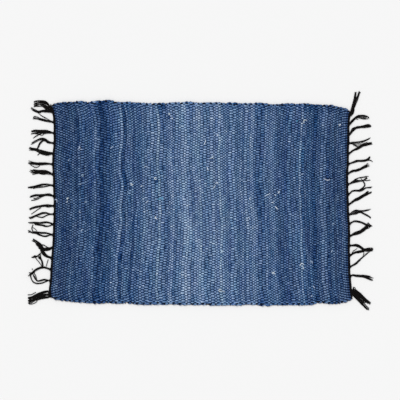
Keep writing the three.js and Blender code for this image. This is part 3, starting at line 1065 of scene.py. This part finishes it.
    def make_lock(
        self, skin: StrandSkin, lock: Lock, root: tuple[float, float, float] | None, rng: np.random.Generator
    ) -> None:
        """Adds the ends of one lock, side by side along its path.

        Args:
            skin: The mesh that they join.
            lock: The lock.
            root: Where it leaves its knot, or None where its path begins away from one.
            rng: The source of their lay.
        """
        level = rng.uniform(1.0, 2.2)
        path = np.array([(x, y, level) for x, y in lock.path])
        if root is not None:
            path = np.vstack([root, path])
        length = float(np.linalg.norm(np.diff(path, axis=0), axis=1).sum())
        steps = max(int(length / self.step), 6)
        spine = smooth_line(path, steps)
        along = np.gradient(spine[:, :2], axis=0)
        along /= np.linalg.norm(along, axis=1, keepdims=True)
        across = np.stack([-along[:, 1], along[:, 0]], axis=1)
        share = np.linspace(0, 1, steps)
        gone = share * length
        fan = self.fan_when_loose if root is None else self.fan_at_knot
        fan = fan + 0.4 * smooth_step(0.08, 0.4, share)
        room = max(lock.width * self.fullness / 2 - self.end_half_thickness, 0)
        for number in range(lock.ends):
            lane = 2 * number / (lock.ends - 1) - 1 if lock.ends > 1 else 0.0
            swap = rng.normal(0, 0.3) * smooth_step(0.1, 0.9, share)
            sideways = (lane + swap) * fan * room + 0.3 * fan * waves(rng, (15, 27, 41), gone)
            line = spine.copy()
            line[:, :2] += across * sideways[:, None]
            line[:, 2] += 0.8 * waves(rng, (26, 39), gone) + 0.35 * np.sin(gone * 0.9 + number)
            line[:, 2] *= 1 - 0.35 * share
            shift = length / steps * rng.uniform(-0.4, 0.7)
            line[:, :2] += along * (shift * share)[:, None]
            keep = steps - int(rng.integers(0, 3 if root is not None else 2))
            half = self.end_half_thickness * rng.uniform(0.85, 1.15)
            self.add_strand(skin, line[:keep], half, 0.8)

    def make(self) -> bpy.types.Object:
        """Makes the fringe as one piece."""
        rng = np.random.default_rng(self.seed)
        skin = StrandSkin(self.sides, self.round_mm)
        self.make_heading(skin, rng)
        for tassel in self.tassels:
            self.make_knot(skin, tassel, rng)
            self.make_fillet(skin, tassel, rng)
            wall = self.end_line(np.array([tassel.knot]))[0]
            root = (wall + self.side * (self.heading_width + 0.4), tassel.knot, 2.0)
            for lock in tassel.locks:
                self.make_lock(skin, lock, root, rng)
        for lock in self.loose_locks:
            self.make_lock(skin, lock, None, rng)
        return skin.make(self.name, self.material)


LEFT_TASSELS = (
    Tassel(287, (
        Lock(((-456, 295), (-464, 304), (-480, 307), (-496, 306), (-501, 301)), 5, 3.4),
        Lock(((-455, 292), (-466, 300), (-483, 302), (-500, 299)), 5, 3),
        Lock(((-456, 288), (-469, 295), (-484, 297), (-499, 294)), 4, 2.6),
        Lock(((-455, 285), (-464, 288), (-473, 292), (-486, 292), (-500, 291)), 3, 2),
        Lock(((-454, 293), (-458, 287), (-462, 282)), 5, 5),
        Lock(((-449, 279), (-457, 281), (-466, 287), (-474, 296)), 5, 5),
    ), large=True),
    Tassel(274, (
        Lock(((-459, 276), (-474, 278), (-486, 275), (-495, 278), (-504, 283), (-508, 286)), 6, 5),
        Lock(((-452, 281), (-460, 283), (-470, 279), (-484, 275)), 3, 2),
    )),
    Tassel(244, (
        Lock(((-456, 246), (-471, 249), (-486, 253), (-498, 255), (-506, 255))),
        Lock(((-453, 249), (-465, 256), (-478, 263), (-488, 271)), 2, 1.8),
        Lock(((-468, 252), (-480, 255), (-492, 260), (-500, 261), (-504, 256)), 2, 1.5),
    )),
    Tassel(211, (
        Lock(((-456, 216), (-471, 218), (-486, 218), (-501, 218), (-510, 216)), 6, 4.5),
        Lock(((-459, 213), (-477, 213), (-495, 212), (-510, 208)), 4, 3),
        Lock(((-462, 212), (-480, 209), (-495, 202), (-504, 195)), 2, 1.8),
        Lock(((-468, 210), (-477, 204), (-486, 208), (-500, 210)), 1),
    )),
    Tassel(181, (
        Lock(((-456, 184), (-468, 192), (-480, 194), (-495, 187), (-510, 179)), 4, 5),
        Lock(((-459, 183), (-468, 189), (-476, 188), (-484, 180), (-488, 171), (-492, 163)), 6, 3.4),
    )),
    Tassel(150, (
        Lock(((-456, 152), (-471, 154), (-486, 158), (-501, 162), (-515, 162)), 7, 6),
        Lock(((-462, 146), (-477, 150), (-492, 159), (-513, 168)), 4, 4),
        Lock(((-477, 151), (-487, 148), (-491, 144)), 2, 1.5),
    )),
    Tassel(118, (
        Lock(((-459, 120), (-474, 121), (-489, 120), (-504, 122), (-518, 126))),
        Lock(((-462, 119), (-483, 118), (-501, 119), (-518, 122)), 4, 4.6),
    )),
    Tassel(87, (
        Lock(((-453, 93), (-465, 97), (-483, 98), (-498, 99), (-510, 101)), 6),
        Lock(((-456, 92), (-471, 93), (-489, 93), (-504, 93), (-512, 97))),
        Lock(((-456, 93), (-468, 88), (-480, 89), (-492, 93)), 3, 2),
        Lock(((-475, 89), (-489, 90), (-504, 87), (-513, 90)), 1),
    )),
    Tassel(54, (
        Lock(((-451.8, 56.1), (-460.5, 57.6), (-474, 57), (-489, 54.3), (-504, 50.1), (-518.4, 47.7)),
            6, 3.4),
        Lock(((-451.8, 54.3), (-462, 51.9), (-477, 49.5), (-492, 48.3), (-505.8, 44.1)), 5, 2.6),
    )),
    Tassel(22, (
        Lock(((-454, 28), (-468, 26), (-483, 25), (-498, 24), (-512, 20))),
        Lock(((-456, 27), (-471, 23), (-483, 17), (-492, 12), (-508, 9)), 3, 2.2),
        Lock(((-468, 24), (-483, 21), (-498, 15), (-508, 20)), 2, 1.6),
    )),
    Tassel(-7, (
        Lock(((-456, -5), (-471, -6), (-489, -9), (-507, -14), (-514, -17))),
        Lock(((-456, -10), (-468, -8), (-486, -10), (-504, -14)), 3, 3),
    )),
    Tassel(-32, (
        Lock(((-453, -31.5), (-463.5, -28.5), (-474, -28.5), (-486, -32.1), (-498, -37.2), (-507, -41.7),
            (-516, -43.2)), 6, 3.6),
        Lock(((-454.5, -32.7), (-465, -36.3), (-475.5, -41.7), (-486, -40.5), (-495, -38.1),
            (-507, -43.5), (-513, -45.3)), 4, 2.6),
    )),
    Tassel(-62, (
        Lock(((-453, -57.9), (-465, -56.1), (-477, -57.9), (-492, -57.6), (-507, -57.9), (-520.2, -57.9)),
            7, 4),
        Lock(((-453, -66.9), (-463.5, -68.4), (-474, -65.7), (-489, -63.3), (-504, -60.3)), 5, 3.2),
    )),
    Tassel(-94, (
        Lock(((-453, -91.2), (-465, -88.5), (-480, -87.9), (-495, -85.2), (-507, -86.4), (-517.2, -85.5)),
            7, 4),
        Lock(((-453, -94.5), (-463.5, -97.8), (-471.9, -97.8), (-483, -94.5), (-495, -89.1),
            (-507, -87.9)), 6, 3.4),
    )),
    Tassel(-132, (
        Lock(((-454.5, -137.1), (-463.2, -139.2), (-472.5, -137.1), (-478.8, -130.5), (-484.2, -122.1),
            (-493.2, -115.2), (-505.8, -108.3)), 9, 6),
        Lock(((-481.2, -135.3), (-487.2, -129.3), (-493.2, -122.7), (-496.2, -115.5)), 3, 3),
        Lock(((-453.6, -134.7), (-463.2, -129.3), (-474, -123.9), (-483, -122.7)), 2, 2.2),
    )),
    Tassel(-163, (
        Lock(((-453, -161.4), (-460.2, -159.3), (-468, -154.2), (-474.6, -146.7), (-478.8, -137.7),
            (-481.2, -128.7), (-489, -120.9)), 9, 6.6),
    )),
    Tassel(-198, (
        Lock(((-454.2, -196.5), (-463.2, -193.2), (-474, -191.1), (-484.8, -193.5), (-496.2, -199.5),
            (-505.8, -207.9), (-513, -214.5)), 8, 4.6),
        Lock(((-459, -195.9), (-466.2, -195.9)), 3, 3),
    )),
    Tassel(-231, (
        Lock(((-453.6, -231.3), (-465, -229.2), (-472.8, -228.6), (-483, -231.3), (-490.8, -231.9),
            (-496.8, -224.7), (-502.2, -215.7)), 7, 3.8),
    )),
    Tassel(-271, (
        Lock(((-456, -264.3), (-465, -264.3), (-480, -268.5), (-495, -275.1), (-507, -280.5),
            (-518.1, -284.1)), 8, 5.6),
        Lock(((-456, -272.7), (-468, -273.9), (-483, -277.5), (-498, -283.5), (-510, -289.5),
            (-518.4, -292.5)), 7, 5.4),
        Lock(((-456, -279.9), (-468, -281.7), (-483, -284.1), (-498, -288.3), (-508.2, -294.3),
            (-517.2, -299.7)), 7, 5),
    ), large=True),
)  # fmt: skip
LEFT_LOOSE = (
    Lock(((-517, 123), (-510, 115), (-498, 109), (-489, 110), (-483, 115)), 2, 1.8),
    Lock(((-480, -12), (-492, -20), (-509, -32)), 2, 1.2),
    Lock(((-504, -63), (-507, -74), (-504, -84)), 3, 2), Lock(((-504, -72), (-496, -78), (-489, -86)), 1),
    Lock(((-519, -81), (-508, -82)), 1),
    Lock(((-480.6, -148.5), (-488.4, -155.7), (-496.8, -159.9), (-508.8, -162.3)), 5, 3),
    Lock(((-493.8, -158.1), (-499.8, -156.9), (-505.2, -161.7)), 2, 2),
    Lock(((-487.2, -158.7), (-484.2, -162.9), (-480, -166.5)), 4, 5),
    Lock(((-482.4, -150.3), (-481.2, -163.5), (-476.1, -174.9), (-474, -189.9)), 6, 3.6),
    Lock(((-496.8, -161.7), (-487.2, -174.3), (-477, -188.7)), 2, 1.4),
    Lock(((-458.4, -167.7), (-463.8, -186.9)), 2, 1.2), Lock(((-472.8, -154.5), (-478.8, -139.5)), 3, 3),
    Lock(((-511.8, -212.7), (-509.4, -224.7), (-503.4, -234.9), (-493.2, -239.7), (-480, -239.1),
        (-468, -235.2), (-459, -231.6)), 5, 3),
    Lock(((-500.4, -207.9), (-495, -219.3), (-492, -230.1)), 2, 1.4),
    Lock(((-504, -209.7), (-498.6, -220.5), (-490.2, -231.3)), 1, 1),
    Lock(((-506.4, -195), (-505.8, -200.1)), 1, 1), Lock(((-516, -207.3), (-508.2, -208.5)), 2, 1.4),
    Lock(((-518.4, -216.9), (-510, -212.7)), 2, 1.4),
    Lock(((-519.6, -273.9), (-508.8, -273), (-496.2, -266.7)), 2, 1.2),
    Lock(((-517.8, -299.1), (-509.1, -302.1), (-496.2, -296.7), (-489, -287.7)), 2, 1.2),
)  # fmt: skip
RIGHT_TASSELS = (
    Tassel(266, (
        Lock(((450.6, 279), (454.8, 291), (458.4, 304.5), (461.7, 319.5), (463.2, 333)), 8, 4.6),
        Lock(((453.9, 277.5), (459, 291), (464.4, 304.5), (470.4, 321), (475.8, 336.6)), 8, 4.6),
        Lock(((452.4, 277.5), (456.9, 292.5), (462, 307.5), (466.8, 324)), 6, 4.6),
        Lock(((449, 270), (451.5, 277), (455, 285)), 4, 3),
        Lock(((454, 267), (457.5, 276), (459, 285)), 4, 3),
    ), large=True),
    Tassel(239, (
        Lock(((450.9, 247.5), (460.5, 255.9), (469.5, 261.9), (480, 263.7), (490.5, 263.1),
            (499.5, 258.9), (502.2, 254.7)), 5, 3.2),
        Lock(((450.9, 246.6), (460.5, 253.5), (469.5, 257.7), (480, 255.6), (492, 253.8), (501.6, 253.8)),
            4, 2.6),
        Lock(((468, 260.1), (478.5, 259.5), (489, 260.7), (498.9, 260.7)), 3, 4),
        Lock(((462, 254.1), (469.5, 251.7), (477, 256.5)), 1, 1),
    )),
    Tassel(208, (
        Lock(((450, 217), (456, 225), (465, 228), (477, 230), (489, 231), (501, 234), (509, 232)),
            5, 3.2),
        Lock(((451, 213), (457, 219), (464, 225), (477, 228), (492, 229), (509, 231)), 5, 3.2),
        Lock(((465, 229), (477, 231), (495, 236), (504, 237), (509, 233)), 2, 1.6),
    )),
    Tassel(181, (
        Lock(((454, 184), (468, 184), (483, 187), (497, 191.5), (508, 196)), 4, 2.6),
        Lock(((456, 181), (466, 179.5), (478, 181.5), (490, 186), (503, 192)), 1, 1),
        Lock(((456, 179), (466, 175.5), (478, 177), (490, 181), (504, 187)), 1, 1),
        Lock(((457, 178), (467, 171), (477, 172.5), (489, 177.5), (508, 183.5)), 2, 2.4),
    )),
    Tassel(150, (
        Lock(((456, 159), (471, 166), (483, 173), (495, 177), (511, 181)), 7, 4.4),
    )),
    Tassel(119, (
        Lock(((456, 123.9), (468, 127.8), (480, 128.1), (492, 129.3), (501, 133.2), (507.9, 139.8)),
            6, 4.2),
        Lock(((477, 126.9), (496.5, 128.1), (508.2, 129.3), (514.2, 125.1)), 2, 1.6),
    )),
    Tassel(90, (
        Lock(((453, 97.8), (465, 99.3), (477, 103.5), (489, 109.8), (503.4, 115.5)), 8, 4.8),
        Lock(((471, 101.7), (483, 108.3), (493.2, 114.9), (501, 120.3)), 3, 2),
    )),
    Tassel(58, (
        Lock(((450, 63.3), (457.2, 68.1), (467.7, 74.4), (478.2, 78), (487.8, 79.2), (503.1, 81.6)),
            4, 2.4),
        Lock(((450, 62.7), (457.8, 66.3), (466.8, 67.8), (476.1, 68.1), (485.7, 68.7), (493.8, 74.1),
            (502.8, 80.1)), 6, 3.4),
        Lock(((483, 68.4), (496.2, 68.7), (504, 70.2), (512.4, 71.4)), 2, 1.2),
    )),
    Tassel(28, (
        Lock(((449.4, 34.8), (454.8, 38.1), (460.8, 39.9), (472.5, 39.6), (482.1, 44.7), (489.6, 52.5),
            (490.5, 58.5), (485.7, 66.9)), 5, 2.8),
        Lock(((449.4, 33.9), (454.8, 36.6), (462, 38.4), (474, 37.5), (481.5, 39.6), (486, 41.7),
            (493.5, 46.8), (503.1, 48), (511.5, 48.6)), 5, 2.8),
    )),
    Tassel(-2, (
        Lock(((452.4, 4.5), (460.5, 10.8), (470.4, 15.6), (482.1, 22.2), (491.4, 27.6), (496.8, 32.7),
            (501.3, 38.7)), 7, 4.2),
        Lock(((452.4, 2.7), (460.5, 8.1), (470.4, 12), (482.1, 18.3), (491.4, 23.4), (501, 28.5),
            (510.6, 33.3)), 7, 4.2),
    )),
    Tassel(-33, (
        Lock(((451, -27), (462, -21), (474, -22), (486, -22), (498, -20), (509, -18)), 5, 3.2),
        Lock(((453, -32), (465, -31), (474, -26), (483, -28), (495, -34), (505, -40), (510, -45)),
            4, 2.8),
        Lock(((456, -30), (463, -27), (474, -25)), 3, 5),
    )),
    Tassel(-60, (
        Lock(((454.5, -55.2), (462, -52.8), (474, -54.6), (486, -58.5), (495, -62.7), (510, -70.2)),
            8, 4.4),
    )),
    Tassel(-97, (
        Lock(((454.5, -93.3), (462, -89.1), (471, -85.8), (480, -81.3), (490.2, -73.5), (498, -65.4),
            (502.2, -59.7)), 8, 5.4),
        Lock(((454.5, -94.5), (465, -91.5), (477, -86.7), (487.8, -80.1), (496.8, -71.7), (505.8, -65.4)),
            6, 4.4),
    )),
    Tassel(-126, (
        Lock(((456, -125.1), (465, -124.2), (474, -126.9), (482.1, -132.9), (490.2, -137.1),
            (501, -135.3), (514.8, -134.7)), 8, 4.8),
        Lock(((456, -126.3), (465, -126.3), (474, -129.3), (483, -135.3), (495, -140.1), (513.6, -142.2)),
            4, 4),
    )),
    Tassel(-155, (
        Lock(((454.8, -150.3), (462, -147), (471, -145.2), (482.1, -143.1), (490.8, -140.1),
            (501, -140.7), (514.8, -139.5)), 9, 5),
        Lock(((451.8, -150.3), (456, -142.5), (462, -139.5), (468, -135.3)), 2, 1.6),
    )),
    Tassel(-189, (
        Lock(((454.5, -185.1), (462, -180.3), (471, -173.1), (480, -165.3), (490.2, -156.9),
            (498, -150.3), (505.8, -144.3)), 5, 3),
        Lock(((454.5, -185.7), (462, -182.1), (469.5, -176.1), (477, -169.5)), 5, 4),
    )),
    Tassel(-217, (
        Lock(((454.8, -213.9), (465, -215.7), (480, -216.6), (492, -217.2), (504, -219.9),
            (515.4, -223.5)), 6, 3.6),
        Lock(((455.4, -215.1), (465, -217.5), (480, -218.7), (492, -221.1), (504, -225.3),
            (515.4, -230.1)), 5, 3.6),
    )),
    Tassel(-263, (
        Lock(((460.2, -257.7), (469.8, -266.1), (480, -275.7), (492, -287.7), (507, -300.3)), 8, 5.6),
        Lock(((459, -265.5), (471, -276.3), (483, -287.1), (495.6, -299.1)), 9, 6.6),
        Lock(((457.8, -273.9), (469.5, -285.3), (481.8, -297.3), (495, -310.5), (504, -319.5)), 9, 6),
        Lock(((455.4, -257.7), (458.4, -250.5), (462.6, -255.3)), 4, 2.4),
    ), large=True),
)  # fmt: skip
RIGHT_LOOSE = (
    Lock(((478.8, 76.5), (484.2, 69.6)), 2, 1), Lock(((453, 179.1), (459, 176.1), (457.2, 172.5)), 1, 1),
    Lock(((510, -65.7), (505.8, -71.7), (496.8, -76.5), (490.2, -77.7)), 1, 1),
    Lock(((487.8, -144.9), (488.4, -150.3), (485.4, -157.5)), 2, 1.6),
    Lock(((501.6, -57.3), (506.4, -63.3), (513, -68.1)), 2, 1.6),
)  # fmt: skip


class RagForm(Enum):
    """The shape of a rag end that has come out of the weave."""

    HOOK = "hook"
    BENT = "bent"
    STREAK = "streak"
    RING = "ring"
    ARC = "arc"
    TUFT = "tuft"


@dataclass
class RagTufts:
    """Rag ends, curls and knots that stand out of the weave, most of them paler than the cloth."""

    material: bpy.types.Material
    sides: int = 6
    cloth_top: float = 6.1
    half_thickness: float = 1.05
    flatness: float = 0.55
    arc_thickness: float = 0.75  # of the other shapes'
    roughness_mm: float = 0.08
    tone_unevenness: float = 0.03
    round_mm: float = 9.0
    lay_shift: float = 31.0  # mm by which each end's creases are out of step with the last one's
    seed: int = 3
    # mm along and across the rug, shape, length in mm, direction in degrees, tone, hue, wash.
    places: tuple[tuple[float, float, RagForm, float, float, float, float, float], ...] = (
        (-366, 166, RagForm.HOOK, 12, -20, 0.84, 0.1, 0.1),
        (-358, 162, RagForm.STREAK, 8, 0, 0.80, 0.1, 0.1),
        (-354, 84, RagForm.RING, 9, 0, 0.78, -0.2, 0.1),
        (-361, 58, RagForm.STREAK, 6, 20, 0.85, 0.0, 0.1),
        (-399, 15, RagForm.TUFT, 8, 20, 0.97, -0.4, 0.5),
        (-401, 5, RagForm.STREAK, 6, 70, 0.90, 0.0, 0.3),
        (-345, 5, RagForm.STREAK, 7, 30, 0.80, 0.0, 0.1),
        (-267, 168, RagForm.STREAK, 12, 42, 0.84, 0.1, 0.1),
        (-208, 57, RagForm.TUFT, 10, 0, 1.05, -0.5, 0.6), (-165, 106, RagForm.ARC, 13, 0, 0.84, 0.0, 0.1),
        (-136, 75, RagForm.RING, 11, 20, 0.95, -0.3, 0.4),
        (-178, 52, RagForm.STREAK, 6, 30, 0.95, 0.0, 0.1),
        (-118, 15, RagForm.BENT, 13, -30, 0.74, -0.9, -0.2),
        (-126, 13, RagForm.STREAK, 9, 15, 0.68, -0.9, -0.2),
        (-162, 5, RagForm.STREAK, 12, 50, 0.86, 0.1, 0.2),
        (-95, 268, RagForm.TUFT, 8, 50, 0.94, -0.5, 0.5),
        (-86, 255, RagForm.STREAK, 6, -60, 0.95, 0.0, 0.1),
        (-396, 130, RagForm.STREAK, 7, 60, 0.78, 0.0, 0.1),
        (-357, -80, RagForm.STREAK, 9, 60, 0.84, 0.0, 0.2),
        (-363, -26, RagForm.STREAK, 7, -30, 0.80, 0.0, 0.2),
        (-135, -43, RagForm.BENT, 10, 110, 1.0, 0.0, 0.5),
        (-132, -211, RagForm.STREAK, 8, 40, 0.88, 0.0, 0.1),
        (-433, 8, RagForm.HOOK, 14, 40, 0.80, 0.3, 0.2),
        (310, 247, RagForm.BENT, 14, 50, 0.98, -0.4, 0.5),
        (288, 247, RagForm.TUFT, 9, 20, 0.62, -0.9, -0.1),
        (303, 248, RagForm.STREAK, 12, 60, 0.05, 0.0, 0.0),
        (415, 235, RagForm.TUFT, 9, 50, 0.95, 0.2, 0.4), (387, 76, RagForm.STREAK, 14, 5, 0.06, 0.3, 0.3),
        (313, 112, RagForm.STREAK, 22, 90, 0.08, 0.0, 0.0),
        (373, 72, RagForm.STREAK, 12, -12, 0.86, 0.3, 0.5),
        (381, 70, RagForm.STREAK, 11, 25, 0.88, 0.2, 0.4),
        (372, 79, RagForm.STREAK, 11, -15, 0.05, 0.0, 0.3),
        (12, 183, RagForm.STREAK, 15, 82, 0.98, 0.0, 0.2),
        (31, 138, RagForm.HOOK, 13, -40, 0.94, -0.4, 0.3),
        (20, 104, RagForm.STREAK, 11, 115, 0.97, 0.0, 0.3), (50, 204, RagForm.TUFT, 7, 0, 0.90, 0.0, 0.2),
        (48, 61, RagForm.BENT, 10, -20, 0.88, 0.0, 0.2), (40, 50, RagForm.STREAK, 12, 60, 0.88, 0.0, 0.2),
        (233, 34, RagForm.TUFT, 9, 50, 0.90, 0.0, 0.2), (199, 26, RagForm.STREAK, 19, 33, 0.88, 0.0, 0.1),
        (303, 88, RagForm.STREAK, 7, 20, 0.82, 0.0, 0.1),
        (63, -143, RagForm.TUFT, 9, 30, 0.92, -0.3, 0.1),
        (226, -13, RagForm.STREAK, 13, -40, 1.0, 0.0, 0.3),
        (226, -21, RagForm.STREAK, 8, -20, 0.05, 0.0, 0.0),
        (214, 3, RagForm.STREAK, 7, 10, 0.94, 0.0, 0.1), (146, 15, RagForm.STREAK, 7, 80, 0.92, 0.0, 0.1),
        (142, -44, RagForm.BENT, 11, 0, 0.86, 0.0, 0.1),
        (396, -61, RagForm.STREAK, 7, 30, 0.76, 0.0, 0.1),
        (392, -142, RagForm.STREAK, 8, 60, 0.80, 0.0, 0.1),
        (301, -182, RagForm.BENT, 14, 20, 0.96, -0.3, 0.5),
        (306, -192, RagForm.STREAK, 11, -60, 0.92, -0.3, 0.4),
        (331, -176, RagForm.HOOK, 11, 60, 0.80, 0.0, 0.2),
        (338, -250, RagForm.STREAK, 9, -45, 0.86, 0.2, 0.1),
        (331, -277, RagForm.STREAK, 7, 60, 0.87, 0.0, 0.1),
        (219, -208, RagForm.BENT, 9, 100, 0.98, -0.2, 0.4),
        (57, -260, RagForm.RING, 12, 20, 0.95, -0.3, 0.5),
        (66, -266, RagForm.ARC, 10, -20, 0.90, -0.3, 0.5),
        (222, 25, RagForm.STREAK, 7, -30, 0.88, 0.0, 0.1),
        (214, -208, RagForm.STREAK, 7, -50, 0.96, -0.2, 0.4),
    )  # fmt: skip

    def lines_of(self, form: RagForm, length: float, rng: np.random.Generator) -> list[np.ndarray]:
        """Draws a rag end's middle lines, in its own small frame.

        Args:
            form: Its shape.
            length: How long it is, in mm.
            rng: The source of a tuft's unevenness.

        Returns:
            The points of each line: along, across and up.
        """
        match form:
            case RagForm.STREAK:
                lines = [[(-0.5, 0, 0), (-0.2, 0.05, 0.8), (0.2, -0.05, 0.8), (0.5, 0, 0.0)]]
            case RagForm.BENT:
                lines = [[(-0.5, -0.25, 0), (0, 0.2, 1.0), (0.1, 0.25, 1.1), (0.45, -0.25, 0.2)]]
            case RagForm.HOOK:
                bend = [(-0.2, 0.3, 0.3), (0.1, 0.38, 0.9), (0.25, 0.1, 1.3)]
                lines = [[*bend, (0.0, -0.2, 1.2), (-0.1, -0.45, 0.4)]]
            case RagForm.RING:
                turns = np.linspace(0, 1.8 * math.pi, 9)
                along, across = 0.31 * np.cos(turns), 0.31 * np.sin(turns)
                lines = [np.stack([along, across, 1 + 0.3 * np.sin(turns)], axis=1)]
            case RagForm.ARC:
                turns = np.linspace(0.1 * math.pi, 0.95 * math.pi, 7)
                along, across = 0.42 * np.cos(turns), 0.4 * np.sin(turns)
                lines = [np.stack([along, across, 0.9 * np.sin(turns)], axis=1)]
            case RagForm.TUFT:
                lines = []
                for way in np.linspace(0, math.tau, 5)[:-1] + rng.normal(0, 0.3, 4):
                    c, s = math.cos(way), math.sin(way)
                    tip = (0.48 * c, 0.4 * s, 0.7)
                    lines.append([(0.05 * c, 0.05 * s, 0.6), (0.25 * c, 0.2 * s, 1.3), tip])
        drawn = []
        for points in lines:
            line = np.array(points, float)
            line[:, :2] *= length
            drawn.append(smooth_line(line, 9))
        return drawn

    def make(self) -> bpy.types.Object:
        """Makes all the rag ends as one piece."""
        rng = np.random.default_rng(self.seed)
        skin = StrandSkin(self.sides, self.round_mm)
        for x, y, form, length, turn, tone, hue, wash in self.places:
            angle = math.radians(turn)
            c, s = math.cos(angle), math.sin(angle)
            for own in self.lines_of(form, length, rng):
                along, across = c * own[:, 0] - s * own[:, 1], s * own[:, 0] + c * own[:, 1]
                line = np.stack([x + along, y + across, self.cloth_top + own[:, 2]], axis=1)
                thin = self.arc_thickness if form is RagForm.ARC else 1.0
                rounded = np.sin(np.linspace(0.4, math.pi - 0.4, len(line))) ** 0.5
                half = self.half_thickness * thin * rounded
                up = np.array([0.4, 0.3, 1.0])
                rings = rings_on(line, up, half * self.flatness, half, self.sides)
                rings += rng.normal(0, self.roughness_mm, rings.shape)
                gone = np.linspace(0, length, len(line)) + self.lay_shift * len(skin.points)
                tones = min(tone, 1.0) + rng.normal(0, self.tone_unevenness, rings.shape[:2])
                values = {"rag_tone": tones, "rag_hue": np.array(hue), "rag_wash": np.array(wash)}
                skin.add(rings, gone, values)
        return skin.make("rag_tufts", self.material)


@dataclass
class Studio:
    """The camera straight above the rug, a pale floor and soft light."""

    camera_height: float = 3.0
    lens_mm: float = 90.0
    aim: tuple[float, float] = (-0.003, 0.0105)
    floor_size: float = 14.0
    floor_drop: float = 0.0004
    floor_colour: str = "e4e4e4"
    world_strength: float = 0.70
    lamp_strength: float = 1.77
    lamp_spread: float = 34.0  # degrees across, as a large soft box looks from the rug
    lamp_direction: tuple[float, float, float] = (-0.22, 0.5, 1.0)

    def make_camera(self) -> None:
        """Sets the camera straight above the rug."""
        data = bpy.data.cameras.new("overhead_camera")
        data.lens, data.sensor_width = self.lens_mm, 36.0
        camera = bpy.data.objects.new("overhead_camera", data)
        camera.location = (*self.aim, self.camera_height)
        bpy.context.scene.collection.objects.link(camera)
        bpy.context.scene.camera = camera

    def make_floor(self) -> None:
        """Lays the pale floor."""
        deselect_all()
        bpy.ops.mesh.primitive_plane_add(size=self.floor_size, location=(0, 0, -self.floor_drop))
        bpy.ops.object.transform_apply(location=True)
        floor = bpy.context.object
        floor.name = "studio_floor"
        material, tree = new_material("matt_paper_sweep")
        place = add_node(tree, "TexCoord").outputs["Object"]
        grain = add_node(tree, "TexNoise", {"Scale": 900.0, "Detail": 2.0}, {"Vector": place})
        bump = add_node(tree, "Bump", {"Strength": 0.03, "Distance": 0.0001}, {"Height": grain})
        colour = linear(self.floor_colour)
        settings = {"Base Color": colour, "Roughness": 1.0, "Specular IOR Level": 0.0}
        shader = add_node(tree, "BsdfPrincipled", settings, {"Normal": bump})
        add_node(tree, "OutputMaterial", links={"Surface": shader})
        floor.data.materials.append(material)

    def make_light(self) -> None:
        """Fills the room with even light, and adds a broad lamp above the upper selvedge."""
        world = bpy.data.worlds.new("studio_world")
        world.use_nodes = True
        background = world.node_tree.nodes["Background"]
        background.inputs["Color"].default_value = (1.0, 1.0, 1.0, 1.0)
        background.inputs["Strength"].default_value = self.world_strength
        bpy.context.scene.world = world
        data = bpy.data.lights.new("soft_box", "SUN")
        data.energy, data.angle = self.lamp_strength, math.radians(self.lamp_spread)
        lamp = bpy.data.objects.new("soft_box", data)
        lamp.rotation_mode = "QUATERNION"
        lamp.rotation_quaternion = Vector(self.lamp_direction).to_track_quat("Z", "Y")
        bpy.context.scene.collection.objects.link(lamp)
        bpy.context.scene.view_settings.view_transform = "Standard"

    def make(self) -> None:
        """Makes the camera, the floor and the light, in that order."""
        self.make_camera()
        self.make_floor()
        self.make_light()


def hand_over(pieces: list[bpy.types.Object], node: str) -> None:
    """Lets pieces ride on the rug and stand for a CAD node.

    Args:
        pieces: The pieces.
        node: The CAD node that they replace.
    """
    for piece in pieces:
        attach(piece, "root")
        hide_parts(node)
        LOG.info("%s: %d faces", piece.name, len(piece.data.polygons))


def main() -> None:
    """Builds the studio and then the rug, from the cloth outwards."""
    logging.basicConfig(level=logging.INFO, format="%(name)s %(message)s")
    Studio().make()
    rag, yarn = RagCotton().make(), BlackWarpCotton().make()
    stained = BlackWarpCotton(STAINED_DYE, "indigo_stained_cotton_yarn").make()
    weft = WovenWeft(rag, RagShades())
    bands = weft.make()
    hand_over(bands, "woven_body")
    warp = WarpYarn(stained, yarn, weft).make()
    tufts = RagTufts(rag).make()
    hand_over(warp, "woven_body")
    hand_over([tufts], "woven_body")
    left = EndFringe("left_fringe", -1, yarn, weft, LEFT_TASSELS, LEFT_LOOSE, (-282, 287), seed=5).make()
    right = EndFringe("right_fringe", 1, yarn, weft, RIGHT_TASSELS, RIGHT_LOOSE, (-280, 275), seed=6).make()
    hand_over([left], "fringe_left")
    hand_over([right], "fringe_right")
    carried = [[left], warp, [tufts], [right]]
    for number, (band, with_pieces) in enumerate(zip(bands, carried, strict=True)):
        weft.flat_size(number)
        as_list(with_pieces)


if __name__ == "__main__":
    main()
